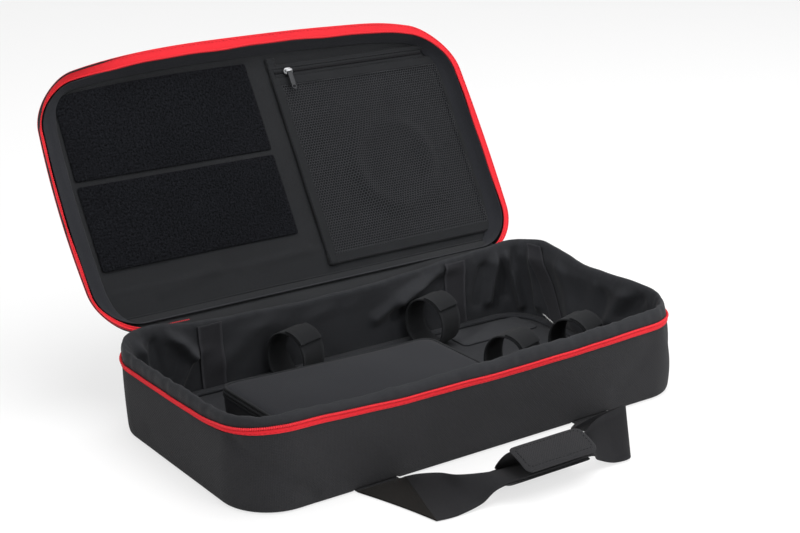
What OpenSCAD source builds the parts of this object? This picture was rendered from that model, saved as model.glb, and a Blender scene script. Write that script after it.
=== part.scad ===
// Soft padded carry case with a zipped lid, an inner organiser box, strap loops and webbing handles.
// The case lies open: the lid leans back on its fabric hinge. Lengths are in millimetres.

/* [Case] */
// Width of the case along its long side
case_w = 560; // [520:5:640]
// Depth of the case from front to rear
case_d = 292; // [276:2:330]
// Radius of the case's upright corners
corner_r = 54; // [40:1:70]
// Height of the zip line above the surface the case stands on
base_h = 86; // [80:1:120]
// Angle of the lid from closed, as it stands open
lid_open = 122; // [90:1:170]
// Height of the lid above the zip line
lid_h = 26; // [24:1:40]
// Inward lean of the lid's side wall over its height
lid_flare = 8; // [2:0.5:10]

/* [Fabric and padding] */
// Thickness of the outer fabric
fabric_t = 1.5; // [1:0.1:2]
// Thickness of the padded bottom
bottom_t = 4; // [3.4:0.1:8]
// Thickness of the stiffening boards
board_t = 2; // [1:0.1:4]
// Thickness of the wall foam
foam_t = 5; // [4:0.5:8]
// Thickness of the lid foam
lid_foam_t = 4; // [2:0.5:6]
// Thickness of the lining
lining_t = 1.2; // [0.8:0.1:1.6]
// Height of the soft rim above the zip line
lip_h = 12; // [6:0.5:14]
// Breadth of the soft rim
lip_w = 9; // [6:0.5:14]
// Clearance between neighbours that move or are only laid in
gap = 0.3; // [0.2:0.05:0.5]

/* [Main zip] */
// Height of one zip tape with its coil
tape_h = 9.2; // [7:0.1:12]
// Thickness of the zip tape
tape_t = 1; // [0.6:0.1:1.4]
// Height of one coil
coil_h = 1.6; // [1:0.1:2]
// Thickness of the coil
coil_t = 2; // [1.6:0.1:2.4]
// Space between the two coils when the lid is down
coil_gap = 1.4; // [1.2:0.1:2]
// Distance of the zip's two rear ends from the case's sides
zip_rear = 102; // [90:1:130]
// Distance of the hinge line behind the rear wall
hinge_off = 3.5; // [3:0.1:5]
// Radius of the hinge welt
welt_r = 2.2; // [1.6:0.1:2.4]
// Length of the zip slider
slider_l = 14; // [10:0.5:18]
// Length of the zip puller
puller_l = 24; // [16:0.5:30]
// Width of the zip puller
puller_w = 5; // [4:0.2:7]
// Travel of the main sliders along the rear wall
slider_travel = 25; // [5:1:30]

/* [Interior] */
// Thickness of the floor mat
mat_t = 4; // [2:0.5:8]
// Height of the mat's raised border
mat_border_h = 4; // [2:0.5:5]
// Breadth of the mat's raised border
mat_border_w = 10; // [6:0.5:12]
// Thickness of the pale floor insert
insert_t = 2; // [1:0.1:4]
// Width of the organiser box
box_w = 253; // [200:1:260]
// Depth of the organiser box
box_d = 142; // [110:1:150]
// Height of the organiser box with its flap
box_h = 54; // [40:1:60]
// Wall thickness of the organiser box
box_wall = 6; // [4:0.5:8]
// Thickness of the organiser flap
flap_t = 7; // [5:0.5:10]
// Corner radius of the organiser box
box_r = 12; // [8:0.5:20]
// Diameter of the piping round the organiser
piping_d = 3; // [2:0.2:4]
// Distance of the organiser from the left lining
box_side = 61; // [40:1:70]
// Distance of the organiser from the front lining
box_front = 14.3; // [12:0.1:20]
// Width of the strap loops
strap_w = 36; // [26:1:40]
// Depth of the strap loops, front to rear
strap_d = 55; // [50:1:58]
// Height of the strap loops
strap_h = 60; // [54:1:66]
// Corner radius of the strap loops
strap_r = 24; // [18:0.5:24.5]
// Turn of the strap loops about the upright, in degrees
strap_turn = 17; // [0:1:20]
// Drop of the overlapping strap end below the loop's top
strap_reach = 12; // [8:0.5:20]
// Thickness of the doubled strap
strap_t = 2.4; // [1.6:0.1:3]
// Distance of the rear left strap loop from the left lining
strap_1_side = 198; // [190:1:215]
// Distance of the rear right strap loop from the right lining
strap_2_side = 158; // [145:1:165]
// Distance of the front middle strap loop from the right lining
strap_3_side = 159; // [150:1:175]
// Distance of the front right strap loop from the right lining
strap_4_side = 66; // [55:1:75]
// Distance of the rear strap loops from the rear lining
strap_rear = 32; // [31:0.5:40]
// Distance of the front middle strap loop from the front lining
strap_3_front = 96; // [75:1:100]
// Distance of the front right strap loop from the front lining
strap_4_front = 96; // [80:1:105]
// Width of the webbing strips on the lining
strip_w = 30; // [20:1:38]
// Thickness of the webbing strips on the lining
strip_t = 1.5; // [1:0.1:2]
// Distance of the rear left strip from the left lining
strip_left_side = 111; // [90:1:130]
// Distance of the rear right strip from the right lining
strip_right_side = 104; // [90:1:120]
// Distance of the right-hand strip from the rear lining
strip_rear = 62; // [55:1:75]
// Distance of the floor insert from the rear right strap loop
insert_gap = 3; // [2:0.5:10]
// Depth of the floor insert, front to rear
insert_d = 44; // [30:1:60]
// Distance of the floor insert from the mat's right border
insert_side = 13; // [10:0.5:20]
// Distance of the floor insert from the mat's rear border
insert_rear = 9; // [6:0.5:16]

/* [Lid fittings] */
// Thickness of the loop pile panels
loop_t = 2.5; // [1.5:0.1:3]
// Distance of the loop panels from the left edge
loop_side = 30; // [24:1:40]
// Distance of the loop panels from the front edge
loop_front = 15.5; // [14:0.5:30]
// Distance of the loop panels from the rear edge
loop_rear = 75; // [50:1:90]
// Strip of lining left between the two loop panels
loop_gap = 6; // [3:0.5:12]
// Width of the mesh pocket
pocket_w = 247; // [200:1:260]
// Distance of the mesh pocket from the right edge
pocket_side = 12; // [12:0.5:20]
// Distance of the mesh pocket from the rear edge
pocket_rear = 30; // [24:1:50]
// Distance of the mesh pocket from the front edge
pocket_front = 11; // [11:0.5:20]
// Lining left between the loop panels and the pocket
pocket_gap = 27; // [10:1:40]
// Depth of the mesh pocket off the lining
pocket_t = 4; // [3:0.1:4.5]
// Width of the pocket's bound edges
bind_w = 13; // [8:0.5:20]
// Distance of the pocket zip from the pocket's front edge
pocket_zip = 12; // [9:0.5:16]
// Width of the pocket zip tape
pocket_tape_w = 8; // [6:0.5:10]
// Width of the mesh strands
strand_w = 2; // [1:0.1:3]
// Pitch of the mesh gaps
mesh_pitch = 20; // [18:0.5:30]

/* [Handles] */
// Width of the handle webbing
web_w = 50; // [38:1:52]
// Thickness of the handle webbing
web_t = 2; // [1.4:0.1:2.4]
// Half the distance between the two ends of a handle
handle_half = 138; // [130:1:150]
// Length of webbing sewn to the case at each handle end
anchor_l = 200; // [120:5:220]
// Length of the grip wrap
grip_l = 90; // [80:1:112]
// Thickness of the grip wrap
grip_t = 4; // [3:0.2:5]

/* [Hidden] */
$fn = 64;

black = [0.12, 0.12, 0.125];
pile = [0.07, 0.075, 0.085];
grey = [0.2, 0.2, 0.215];
red = [0.8, 0.13, 0.16];
nickel = [0.78, 0.78, 0.8];
white = [0.92, 0.92, 0.92];

// Heights and faces that several pieces share
wall_top = base_h - tape_h;
board_top = bottom_t + board_t;
wall_in = fabric_t + foam_t;
lining_in = wall_in + lining_t;
lining_floor = board_top + lining_t;
mat_top = lining_floor + mat_t;
lip_in = coil_t + 2.2;
lip_z = wall_top - 7;
inner_x = case_w / 2 - lining_in;
inner_y = case_d / 2 - lining_in;
hinge_y = case_d / 2 + hinge_off;
coil_in = (tape_t - coil_t) / 2;
zip_end = case_w / 2 - zip_rear;
lid_top = base_h + lid_h;
lid_wall_z = base_h + coil_gap / 2 + tape_h;
lid_wall_h = lid_top - lid_wall_z;
lining_face = lid_top - fabric_t - board_t - lid_foam_t - lining_t;
pocket_face = lining_face - pocket_t;

// Organiser, strap loops and wall strips
box_x = -inner_x + box_side;
box_y = -inner_y + box_front;
flap_z = mat_top + box_h - flap_t;
// Half width of a turned strap loop where it stands on the mat
strap_foot = strap_w / 2 * cos(strap_turn) + (strap_d / 2 - strap_r / 2) * sin(strap_turn);
strap_places = [[-inner_x + strap_1_side, inner_y - strap_rear], [inner_x - strap_2_side, inner_y - strap_rear],
    [inner_x - strap_3_side, -inner_y + strap_3_front], [inner_x - strap_4_side, -inner_y + strap_4_front]];
strip_bottom = mat_top + mat_border_h + gap;
strip_l = lip_z - gap - strip_bottom;
rear_strip_left_x = -inner_x + strip_left_side;
rear_strip_right_x = inner_x - strip_right_side;
side_strip_y = inner_y - strip_rear;

// Lid fittings
loop_w = case_w - loop_side - pocket_side - pocket_w - pocket_gap;
loop_l = (case_d - loop_front - loop_rear - loop_gap) / 2;
pocket_x = case_w / 2 - pocket_side - pocket_w;
pocket_l = case_d - pocket_front - pocket_rear;
pocket_y = -case_d / 2 + pocket_front;
zip_y = pocket_y + pocket_zip;
mesh_x = pocket_x + bind_w;
mesh_y = zip_y + pocket_tape_w / 2 + bind_w;
mesh_w = pocket_w - 2 * bind_w;
mesh_l = pocket_y + pocket_l - bind_w - mesh_y;
mesh_t = 1.2;
pocket_coil_w = 3;
pocket_coil_h = 1.2;
pocket_slider_w = 9;
pocket_slider_h = 3.1;
pocket_slider_x = pocket_x + 24;
zip_start = bind_w / 2;
zip_l = pocket_w - zip_start - corner_r / 2;
pocket_edge = fabric_t + gap + lining_t + lid_flare * (lining_face - lid_wall_z) / lid_wall_h + 2;

// Zip sliders: ears, pin and the pullers' eyes
ear_t = 1.2;
pin_r = 0.7;
pin_gap = 0.15;
puller_t = 1.4;
plate_t = 1.2;
slider_drop = 6;
bridge_h = coil_gap - 2 * gap;
slider_x = zip_end + 5 + slider_l / 2;
slider_out = case_d / 2 - coil_in + gap;
slider_in = case_d / 2 - coil_in - coil_t - gap;
eye_r = pin_r + pin_gap;
eye_t = 0.7;
main_pin_y = slider_out + plate_t + eye_r + eye_t + gap;
main_pin_z = base_h - slider_drop + 2;
pocket_pin_z = pocket_face - pocket_slider_h - eye_r - eye_t - 2 * gap;

// Handles: both edges of the webbing, measured from the line the handle swings on
handle_y = -case_d / 2 - 2.5;
handle_z = web_t + gap;
lid_handle_y = -case_d / 2 + lid_flare + 0.7;
lid_handle_z = lid_top + 2 * web_t + 0.2;
lid_handle_rest = 270 - lid_open;
web_mid = -web_t / 2;
grip_half = grip_l / 2;
end_in = handle_half - web_w / 2;
end_out = handle_half + web_w / 2;
grip_web_z = grip_t + 11.5;
grip_tilt = 3;
grip_web_front = grip_web_z + grip_tilt;
low_edge = [[-end_out, 0, web_mid], [-end_out + 15, -45, web_mid], [-end_out + 28, -88, web_mid],
    [-end_out + 53, -95, web_mid + 0.3], [-end_out + 77, -96, 3], [-grip_half - 16, -98, 11],
    [-grip_half, -101, grip_web_front], [0, -101, grip_web_front], [grip_half, -101, grip_web_front],
    [grip_half + 17, -95, 6], [end_in - 33, -97, 0], [end_in - 11, -96, web_mid + 0.2],
    [end_in + 10, -74, web_mid], [end_in + 32, -40, web_mid], [end_out, 0, web_mid]];
high_edge = [[-end_in, 0, web_mid], [-end_in + 2, -8, 3], [-end_in + 6, -22, 11],
    [-end_in + 14, -45, 19], [-end_in + 20, -67, 24], [-grip_half - 23, -79, 24],
    [-grip_half, -76, grip_web_z + 4], [0, -76, grip_web_z], [grip_half, -76, grip_web_z + 4],
    [grip_half + 17, -79, 28.5], [end_in - 38, -81, 42], [end_in - 10, -84, 49],
    [end_in - 15, -54, 31], [end_in - 18, -24, 7], [end_in, 0, web_mid]];
web_steps = 4;

// Grip wrap section, front to rear and height, measured from the same line
grip_ridge = [-81, 38.5];
grip_foot = [-58.5, 10.4];
grip_front = [-113, 28];
grip_plate = 1.7;
// Top of the wrap's lower leaf under the webbing, front to rear
function grip_seat(y) = grip_web_z - (y + 76) * grip_tilt / 25 - web_t / 2 - gap;

function unit(v) = v / norm(v);
// Point on the smooth curve through a list, at a place counted in points
function along(list, at) =
    let (n = len(list) - 1, i = min(floor(at), n - 1), t = at - i,
        a = list[max(i - 1, 0)], b = list[i], c = list[i + 1], d = list[min(i + 2, n)])
    0.5 * (2 * b + (c - a) * t + (2 * a - 5 * b + 4 * c - d) * t * t + (3 * b - a - 3 * c + d) * t * t * t);

// Plan of the case, drawn in from the outline by a distance
module plan(inset = 0, facets = $fn) {
    rounded(case_w - 2 * inset, case_d - 2 * inset, corner_r - inset, facets);
}

module rounded(w, d, r, facets = $fn) {
    square([w - 2 * r, d], center = true);
    square([w, d - 2 * r], center = true);
    for (x = [-1, 1], y = [-1, 1])
        translate([x * (w / 2 - r), y * (d / 2 - r)]) circle(r, $fn = facets);
}

module band(outer, inner, z, h) {
    translate([0, 0, z]) linear_extrude(h) difference() {
        plan(outer);
        plan(inner);
    }
}

module slab(inset, z, h) {
    translate([0, 0, z]) linear_extrude(h) plan(inset);
}

// Solid plan that leans inwards by a distance over its height
module leaning(inset, z, h, lean) {
    w = case_w - 2 * inset;
    d = case_d - 2 * inset;
    translate([0, 0, z])
        linear_extrude(h, scale = [(w - 2 * lean) / w, (d - 2 * lean) / d], slices = 1) plan(inset, 48);
}

// Block across the rear wall that parts the zip from the fabric hinge
module rear_block(half, z, h) {
    translate([-half, case_d / 2 - corner_r / 2, z]) cube([2 * half, corner_r, h]);
}

// Moves a lid piece from its closed place to the open lid
module on_lid() {
    translate([0, hinge_y, base_h]) rotate([-lid_open, 0, 0]) translate([0, -hinge_y, -base_h]) children();
}

// Turns a profile of depth and height into a bar along the case's width
module bar(x, w) {
    translate([x, 0, 0]) rotate([90, 0, 90]) linear_extrude(w) children();
}

// Closed ribbon between two edges, with a thickness
module ribbon(p, q, t) {
    n = (len(p) - 1) * web_steps;
    low = [for (i = [0 : n]) along(p, i / web_steps)];
    high = [for (i = [0 : n]) along(q, i / web_steps)];
    mid = (low + high) / 2;
    side = [for (i = [0 : n])
        unit(cross(mid[min(i + 1, n)] - mid[max(i - 1, 0)], high[i] - low[i])) * t / 2];
    points = [for (i = [0 : n]) each [low[i] + side[i], high[i] + side[i], high[i] - side[i], low[i] - side[i]]];
    walls = [for (i = [0 : n - 1], j = [0 : 3])
        let (a = 4 * i + j, b = 4 * i + (j + 1) % 4)
        each [[a, a + 4, b], [b, a + 4, b + 4]]];
    last = 4 * n;
    ends = [[0, 1, 2], [0, 2, 3], [last, last + 2, last + 1], [last, last + 3, last + 2]];
    polyhedron(points, concat(walls, ends));
}

// Base shell
module web_notches(grow) {
    for (s = [-1, 1])
        translate([s * handle_half - web_w / 2 - grow, -case_d / 2 - 1, -1])
            cube([web_w + 2 * grow, anchor_l + 1 + grow, web_t + 2 * gap + 1]);
}

module base_outer_wall() {
    color(black) difference() {
        band(0, fabric_t, 0, wall_top);
        web_notches(gap);
    }
}

module base_bottom_panel() {
    color(black) difference() {
        slab(fabric_t, 0, bottom_t);
        web_notches(gap);
    }
}

module base_bottom_board() {
    color(grey) slab(fabric_t, bottom_t, board_t);
}

module base_wall_foam() {
    color(grey) band(fabric_t, wall_in, board_top, lip_z - board_top);
}

module base_lining() {
    color(black) difference() {
        slab(wall_in, board_top, lip_z - board_top);
        slab(lining_in, lining_floor, lip_z);
    }
}

module rim_ring() {
    band(lip_in, lip_in + lip_w, lip_z, base_h - lip_z);
    difference() {
        leaning(lip_in, base_h, lip_h, lip_w / 2);
        slab(lip_in + lip_w, base_h - 1, lip_h + 2);
    }
}

// Blocks over the straight runs of the four sides
module straight_runs() {
    for (turn = [0, 1]) {
        mirror([turn, 0, 0])
            translate([-case_w / 2 - 1, corner_r - case_d / 2, lip_z - 1])
                cube([corner_r, case_d - 2 * corner_r, base_h + lip_h]);
        mirror([0, turn, 0])
            translate([corner_r - case_w / 2, -case_d / 2 - 1, lip_z - 1])
                cube([case_w - 2 * corner_r, corner_r, base_h + lip_h]);
    }
}

module base_soft_rim() {
    color(black) difference() {
        rim_ring();
        straight_runs();
    }
}

module soft_rim_runs() {
    color(black) intersection() {
        rim_ring();
        straight_runs();
    }
}

module base_zip_tape() {
    color(red) difference() {
        band(0, tape_t, wall_top, tape_h - coil_gap / 2 - coil_h);
        rear_block(zip_end, wall_top - 1, tape_h + 2);
    }
}

module base_zip_coil() {
    color(red) difference() {
        band(coil_in, coil_in + coil_t, base_h - coil_gap / 2 - coil_h, coil_h);
        rear_block(zip_end, base_h - tape_h, tape_h + 2);
    }
}

module zip_end_stop(s) {
    color(black) translate([s * (zip_end + 2.2) - 1.5, case_d / 2, wall_top + 0.5])
        cube([3, tape_t, tape_h - coil_gap / 2 - coil_h - 1]);
}

module zip_end_stop_left() { zip_end_stop(-1); }

module zip_end_stop_right() { zip_end_stop(1); }

module base_hinge_strip() {
    top = base_h - coil_gap / 2;
    color(black) {
        translate([-zip_end, case_d / 2 - tape_t, wall_top]) cube([2 * zip_end, tape_t, top - wall_top]);
        translate([-zip_end, case_d / 2, top - tape_t])
            cube([2 * zip_end, hinge_off - welt_r + 0.1, tape_t]);
    }
}

module hinge_welt() {
    color(black) translate([-zip_end, hinge_y, base_h]) rotate([0, 90, 0]) cylinder(h = 2 * zip_end, r = welt_r);
}

// Interior
module floor_mat() {
    inset = lining_in + gap;
    color(grey) {
        slab(inset, lining_floor, mat_t);
        band(inset, inset + mat_border_w, mat_top, mat_border_h);
    }
}

module floor_insert() {
    x = strap_places[1][0] + strap_foot + insert_gap;
    y = inner_y - mat_border_w - insert_rear - insert_d;
    w = inner_x - mat_border_w - insert_side - x;
    color(grey) translate([x + w / 2, y + insert_d / 2, mat_top])
        linear_extrude(insert_t) rounded(w, insert_d, 6);
}

module rear_strip(x) {
    color(black) translate([x - strip_w / 2, inner_y - strip_t, strip_bottom]) cube([strip_w, strip_t, strip_l]);
}

module rear_strip_left() { rear_strip(rear_strip_left_x); }

module rear_strip_right() { rear_strip(rear_strip_right_x); }

module side_strip() {
    color(black) translate([inner_x - strip_t, side_strip_y - strip_w / 2, strip_bottom])
        cube([strip_t, strip_w, strip_l]);
}

module care_label() {
    color(white) translate([inner_x - strip_t - 0.6, side_strip_y - 11, strip_bottom + 2]) cube([0.6, 22, 14]);
}

module box_plan(inset = 0) {
    translate([box_x + box_w / 2, box_y + box_d / 2])
        rounded(box_w - 2 * inset, box_d - 2 * inset, box_r - inset);
}

module organiser_box() {
    h = box_h - flap_t - gap;
    color(black) translate([0, 0, mat_top]) difference() {
        linear_extrude(h) box_plan();
        translate([0, 0, box_wall]) linear_extrude(h) box_plan(box_wall);
    }
}

module piping_ring(z) {
    translate([0, 0, z - piping_d / 2]) linear_extrude(piping_d) difference() {
        box_plan(-piping_d / 2);
        box_plan(0);
    }
}

module organiser_piping() {
    color(black) piping_ring(flap_z - gap - piping_d / 2);
}

module organiser_flap() {
    color(grey) translate([0, 0, flap_z]) linear_extrude(flap_t) box_plan();
}

module organiser_flap_piping() {
    color(black) piping_ring(flap_z + piping_d / 2);
}

module strap_plan(grow) {
    translate([0, strap_h / 2]) rounded(strap_d + 2 * grow, strap_h + 2 * grow, strap_r + grow);
}

module strap_loop(i) {
    color(black) translate([strap_places[i][0], strap_places[i][1], mat_top]) rotate([0, 0, strap_turn])
        bar(-strap_w / 2, strap_w) difference() {
            strap_plan(0);
            strap_plan(-strap_t);
        }
}

// Overlapping end of a strap: the outer layer from the loop's top to its upper front
module strap_tab(i) {
    color(black) translate([strap_places[i][0], strap_places[i][1], mat_top]) rotate([0, 0, strap_turn])
        bar(-strap_w / 2, strap_w) intersection() {
            difference() {
                strap_plan(gap + strap_t);
                strap_plan(gap);
            }
            translate([-strap_d, strap_h - strap_reach]) square([strap_d, strap_reach + 2 * strap_t]);
        }
}

module strap_loop_1() { strap_loop(0); }

module strap_loop_2() { strap_loop(1); }

module strap_loop_3() { strap_loop(2); }

module strap_loop_4() { strap_loop(3); }

module strap_tab_1() { strap_tab(0); }

module strap_tab_2() { strap_tab(1); }

module strap_tab_3() { strap_tab(2); }

module strap_tab_4() { strap_tab(3); }

// Carry handle under the base
module handle_anchor(s) {
    color(black) translate([s * handle_half - web_w / 2, handle_y + gap, gap])
        cube([web_w, anchor_l - 2.5, web_t]);
}

module handle_anchor_left() { handle_anchor(-1); }

module handle_anchor_right() { handle_anchor(1); }

module carry_handle() {
    color(black) translate([0, handle_y, handle_z]) ribbon(low_edge, high_edge, web_t);
}

module grip_pad() {
    front = grip_front[0] + 10;
    rear = grip_foot[0] - 7.5;
    color(black) translate([0, handle_y, handle_z]) bar(-grip_half, grip_l) polygon([
        grip_ridge, grip_foot + [0, 2.1], grip_foot, [front, grip_seat(front) - grip_plate],
        [front, grip_seat(front)], [rear, grip_seat(rear)], grip_ridge + [-2.5, -3]]);
}

module grip_flap() {
    color(black) translate([0, handle_y, handle_z]) bar(-grip_half, grip_l) polygon([
        grip_ridge + [1.5, grip_t + 0.7], grip_ridge + [1.5, 1.1], grip_front + [2, -1],
        grip_front, grip_front + [0.5, 2.2]]);
}

// Lid shell
module lid_sheet(z, h) {
    inset = lid_flare + fabric_t + gap;
    translate([0, 0, z]) linear_extrude(h)
        rounded(case_w - 2 * inset, case_d - 2 * inset, corner_r - fabric_t);
}

module lid_outer_panel() {
    color(black) on_lid() lid_sheet(lid_top - fabric_t, fabric_t);
}

module lid_side_wall() {
    color(black) on_lid() difference() {
        leaning(0, lid_wall_z, lid_wall_h, lid_flare);
        leaning(fabric_t, lid_wall_z - 0.001, lid_wall_h + 0.002, lid_flare);
    }
}

module lid_board() {
    color(grey) on_lid() lid_sheet(lid_top - fabric_t - board_t, board_t);
}

module lid_foam() {
    color(grey) on_lid() lid_sheet(lid_top - fabric_t - board_t - lid_foam_t, lid_foam_t);
}

module lid_lining() {
    inset = fabric_t + gap;
    h = lining_face + lining_t - lid_wall_z;
    lean = lid_flare * h / lid_wall_h;
    color(black) on_lid() difference() {
        leaning(inset, lid_wall_z, h, lean);
        leaning(inset + lining_t, lid_wall_z - 0.001, h - lining_t + 0.001, lean * (h - lining_t) / h);
    }
}

module lid_edge_binding() {
    color(black) on_lid() band(tape_t, tape_t + 2, lid_wall_z - 3, 3);
}

module lid_zip_tape() {
    color(red) on_lid() difference() {
        band(0, tape_t, lid_wall_z - tape_h + coil_h, tape_h - coil_h);
        rear_block(zip_end, base_h, lid_h);
    }
}

module lid_zip_coil() {
    color(red) on_lid() difference() {
        band(coil_in, coil_in + coil_t, lid_wall_z - tape_h, coil_h);
        rear_block(zip_end, base_h, lid_h);
    }
}

module lid_hinge_strip() {
    low = lid_wall_z - tape_h;
    color(black) on_lid() {
        translate([-zip_end, case_d / 2 - tape_t, low]) cube([2 * zip_end, tape_t, tape_h]);
        translate([-zip_end, case_d / 2, low]) cube([2 * zip_end, hinge_off - welt_r - 0.1, tape_t]);
    }
}

module loop_panel(step) {
    color(pile) on_lid() translate([-case_w / 2 + loop_side,
        -case_d / 2 + loop_front + step * (loop_l + loop_gap), lining_face - loop_t])
        cube([loop_w, loop_l, loop_t]);
}

module loop_panel_upper() { loop_panel(0); }

module loop_panel_lower() { loop_panel(1); }

// Mesh pocket
module zip_slot(z, h) {
    translate([pocket_x + zip_start, zip_y - pocket_tape_w / 2, z]) cube([zip_l, pocket_tape_w, h]);
}

module pocket_frame() {
    color(black) on_lid() difference() {
        intersection() {
            translate([pocket_x, pocket_y, pocket_face]) cube([pocket_w, pocket_l, pocket_t]);
            slab(pocket_edge, pocket_face - 1, pocket_t + 2);
        }
        translate([mesh_x, mesh_y, pocket_face - 1]) cube([mesh_w, mesh_l, pocket_t + 2]);
        zip_slot(pocket_face - 1, pocket_t + 2);
    }
}

module pocket_mesh() {
    nx = floor((mesh_w - 2 * strand_w) / mesh_pitch);
    ny = floor((mesh_l - 2 * strand_w) / mesh_pitch);
    side = (mesh_pitch - strand_w * sqrt(2)) / sqrt(2);
    color(grey) on_lid() translate([mesh_x + mesh_w / 2, mesh_y + mesh_l / 2, pocket_face])
        linear_extrude(mesh_t) difference() {
            square([mesh_w, mesh_l], center = true);
            for (shift = [0, 1], i = [0 : nx - 1 - shift], j = [0 : ny - 1 - shift])
                translate([(i - (nx - 1 - shift) / 2) * mesh_pitch, (j - (ny - 1 - shift) / 2) * mesh_pitch])
                    rotate(45) square(side, center = true);
        }
}

module pocket_zip_tape() {
    color(black) on_lid() zip_slot(pocket_face, mesh_t);
}

module pocket_zip_coil() {
    color(black) on_lid() translate([pocket_x + zip_start, zip_y - pocket_coil_w / 2, pocket_face - pocket_coil_h])
        cube([zip_l, pocket_coil_w, pocket_coil_h]);
}

// Ears and pin that hold a puller, standing along Z with the pin along X
module puller_ears(base, pin) {
    inner = puller_w / 2 + gap;
    for (s = [-1, 1])
        translate([s * (inner + ear_t / 2) - ear_t / 2, -1.6, min(base, pin - pin_r - 0.4)])
            cube([ear_t, 3.2, abs(pin - base) + pin_r + 0.4]);
    translate([-inner - ear_t / 2, 0, pin]) rotate([0, 90, 0]) cylinder(h = 2 * inner + ear_t, r = pin_r);
}

// Flat puller with an eye on the pin at its origin, lying along +Y
module puller_blade() {
    difference() {
        translate([0, 0, -puller_t / 2]) linear_extrude(puller_t) difference() {
            union() {
                translate([-puller_w / 2, 1]) square([puller_w, puller_l - puller_w / 2 - 1]);
                translate([0, puller_l - puller_w / 2]) circle(puller_w / 2);
            }
            translate([0, puller_l - puller_w / 2]) circle(puller_w / 4);
        }
        translate([-puller_w, 0, 0]) rotate([0, 90, 0]) cylinder(h = 2 * puller_w, r = eye_r);
    }
    translate([-puller_w / 2, 0, 0]) rotate([0, 90, 0]) difference() {
        cylinder(h = puller_w, r = eye_r + eye_t);
        translate([0, 0, -1]) cylinder(h = puller_w + 2, r = eye_r);
    }
}

module pocket_slider() {
    low = pocket_face - gap - pocket_slider_h;
    color(nickel) on_lid() translate([pocket_slider_x, zip_y, 0]) {
        difference() {
            translate([-slider_l / 2, -pocket_slider_w / 2, low])
                cube([slider_l, pocket_slider_w, pocket_slider_h]);
            translate([-slider_l, -pocket_coil_w / 2 - gap, pocket_face - pocket_coil_h - gap])
                cube([2 * slider_l, pocket_coil_w + 2 * gap, pocket_coil_h + 2 * gap]);
        }
        puller_ears(low, pocket_pin_z);
    }
}

module pocket_puller() {
    color(nickel) on_lid() translate([pocket_slider_x, zip_y, pocket_pin_z]) puller_blade();
}

// Lid handle
module lid_anchor(s) {
    color(black) on_lid() translate([s * handle_half - web_w / 2, lid_handle_y + gap, lid_top])
        cube([web_w, anchor_l, web_t]);
}

module lid_anchor_left() { lid_anchor(-1); }

module lid_anchor_right() { lid_anchor(1); }

module lid_handle() {
    color(black) on_lid() translate([0, lid_handle_y, lid_handle_z]) rotate([-lid_handle_rest, 0, 0])
        ribbon([for (p = high_edge) [p[0], p[1], -p[2]]], [for (p = low_edge) [p[0], p[1], -p[2]]], web_t);
}

// Main zip sliders on the rear stretch of the base zip
module main_slider(s) {
    low = base_h - slider_drop;
    deep = slider_drop + bridge_h / 2;
    color(nickel) translate([s * slider_x - slider_l / 2, 0, 0]) {
        translate([0, slider_out, low]) cube([slider_l, plate_t, deep]);
        translate([0, slider_in - plate_t, low]) cube([slider_l, plate_t, deep]);
        translate([0, slider_in - plate_t, base_h - bridge_h / 2])
            cube([slider_l, slider_out - slider_in + 2 * plate_t, bridge_h]);
    }
    color(nickel) translate([s * slider_x, 0, main_pin_z]) rotate([-90, 0, 0])
        puller_ears(slider_out + plate_t, main_pin_y);
}

module main_puller(s) {
    color(nickel) translate([s * slider_x, main_pin_y, main_pin_z]) rotate([-90, 0, 0]) puller_blade();
}

module main_slider_left() { main_slider(-1); }

module main_slider_right() { main_slider(1); }

module main_puller_left() { main_puller(-1); }

module main_puller_right() { main_puller(1); }

base_outer_wall();
base_bottom_panel();
base_bottom_board();
base_wall_foam();
base_lining();
base_soft_rim();
soft_rim_runs();
base_zip_tape();
base_zip_coil();
zip_end_stop_left();
zip_end_stop_right();
base_hinge_strip();
hinge_welt();
floor_mat();
floor_insert();
rear_strip_left();
rear_strip_right();
side_strip();
care_label();
organiser_box();
organiser_piping();
organiser_flap();
organiser_flap_piping();
strap_loop_1();
strap_loop_2();
strap_loop_3();
strap_loop_4();
strap_tab_1();
strap_tab_2();
strap_tab_3();
strap_tab_4();
handle_anchor_left();
handle_anchor_right();
carry_handle();
grip_pad();
grip_flap();
lid_outer_panel();
lid_side_wall();
lid_board();
lid_foam();
lid_lining();
lid_edge_binding();
lid_zip_tape();
lid_zip_coil();
lid_hinge_strip();
loop_panel_upper();
loop_panel_lower();
pocket_frame();
pocket_mesh();
pocket_zip_tape();
pocket_zip_coil();
pocket_slider();
pocket_puller();
lid_anchor_left();
lid_anchor_right();
lid_handle();
main_slider_left();
main_slider_right();
main_puller_left();
main_puller_right();
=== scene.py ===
"""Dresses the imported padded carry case: cloth, zips, webbing, mesh pocket, camera and studio.

Every length in the classes is in millimetres in the model's own frame. Meshes are written in metres.
"""

import logging
import math
from dataclasses import dataclass
from enum import Enum
from typing import Callable, Dict, List, Optional, Sequence, Tuple

import bmesh
import bpy
import numpy as np
from mathutils import Matrix, Vector

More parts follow.
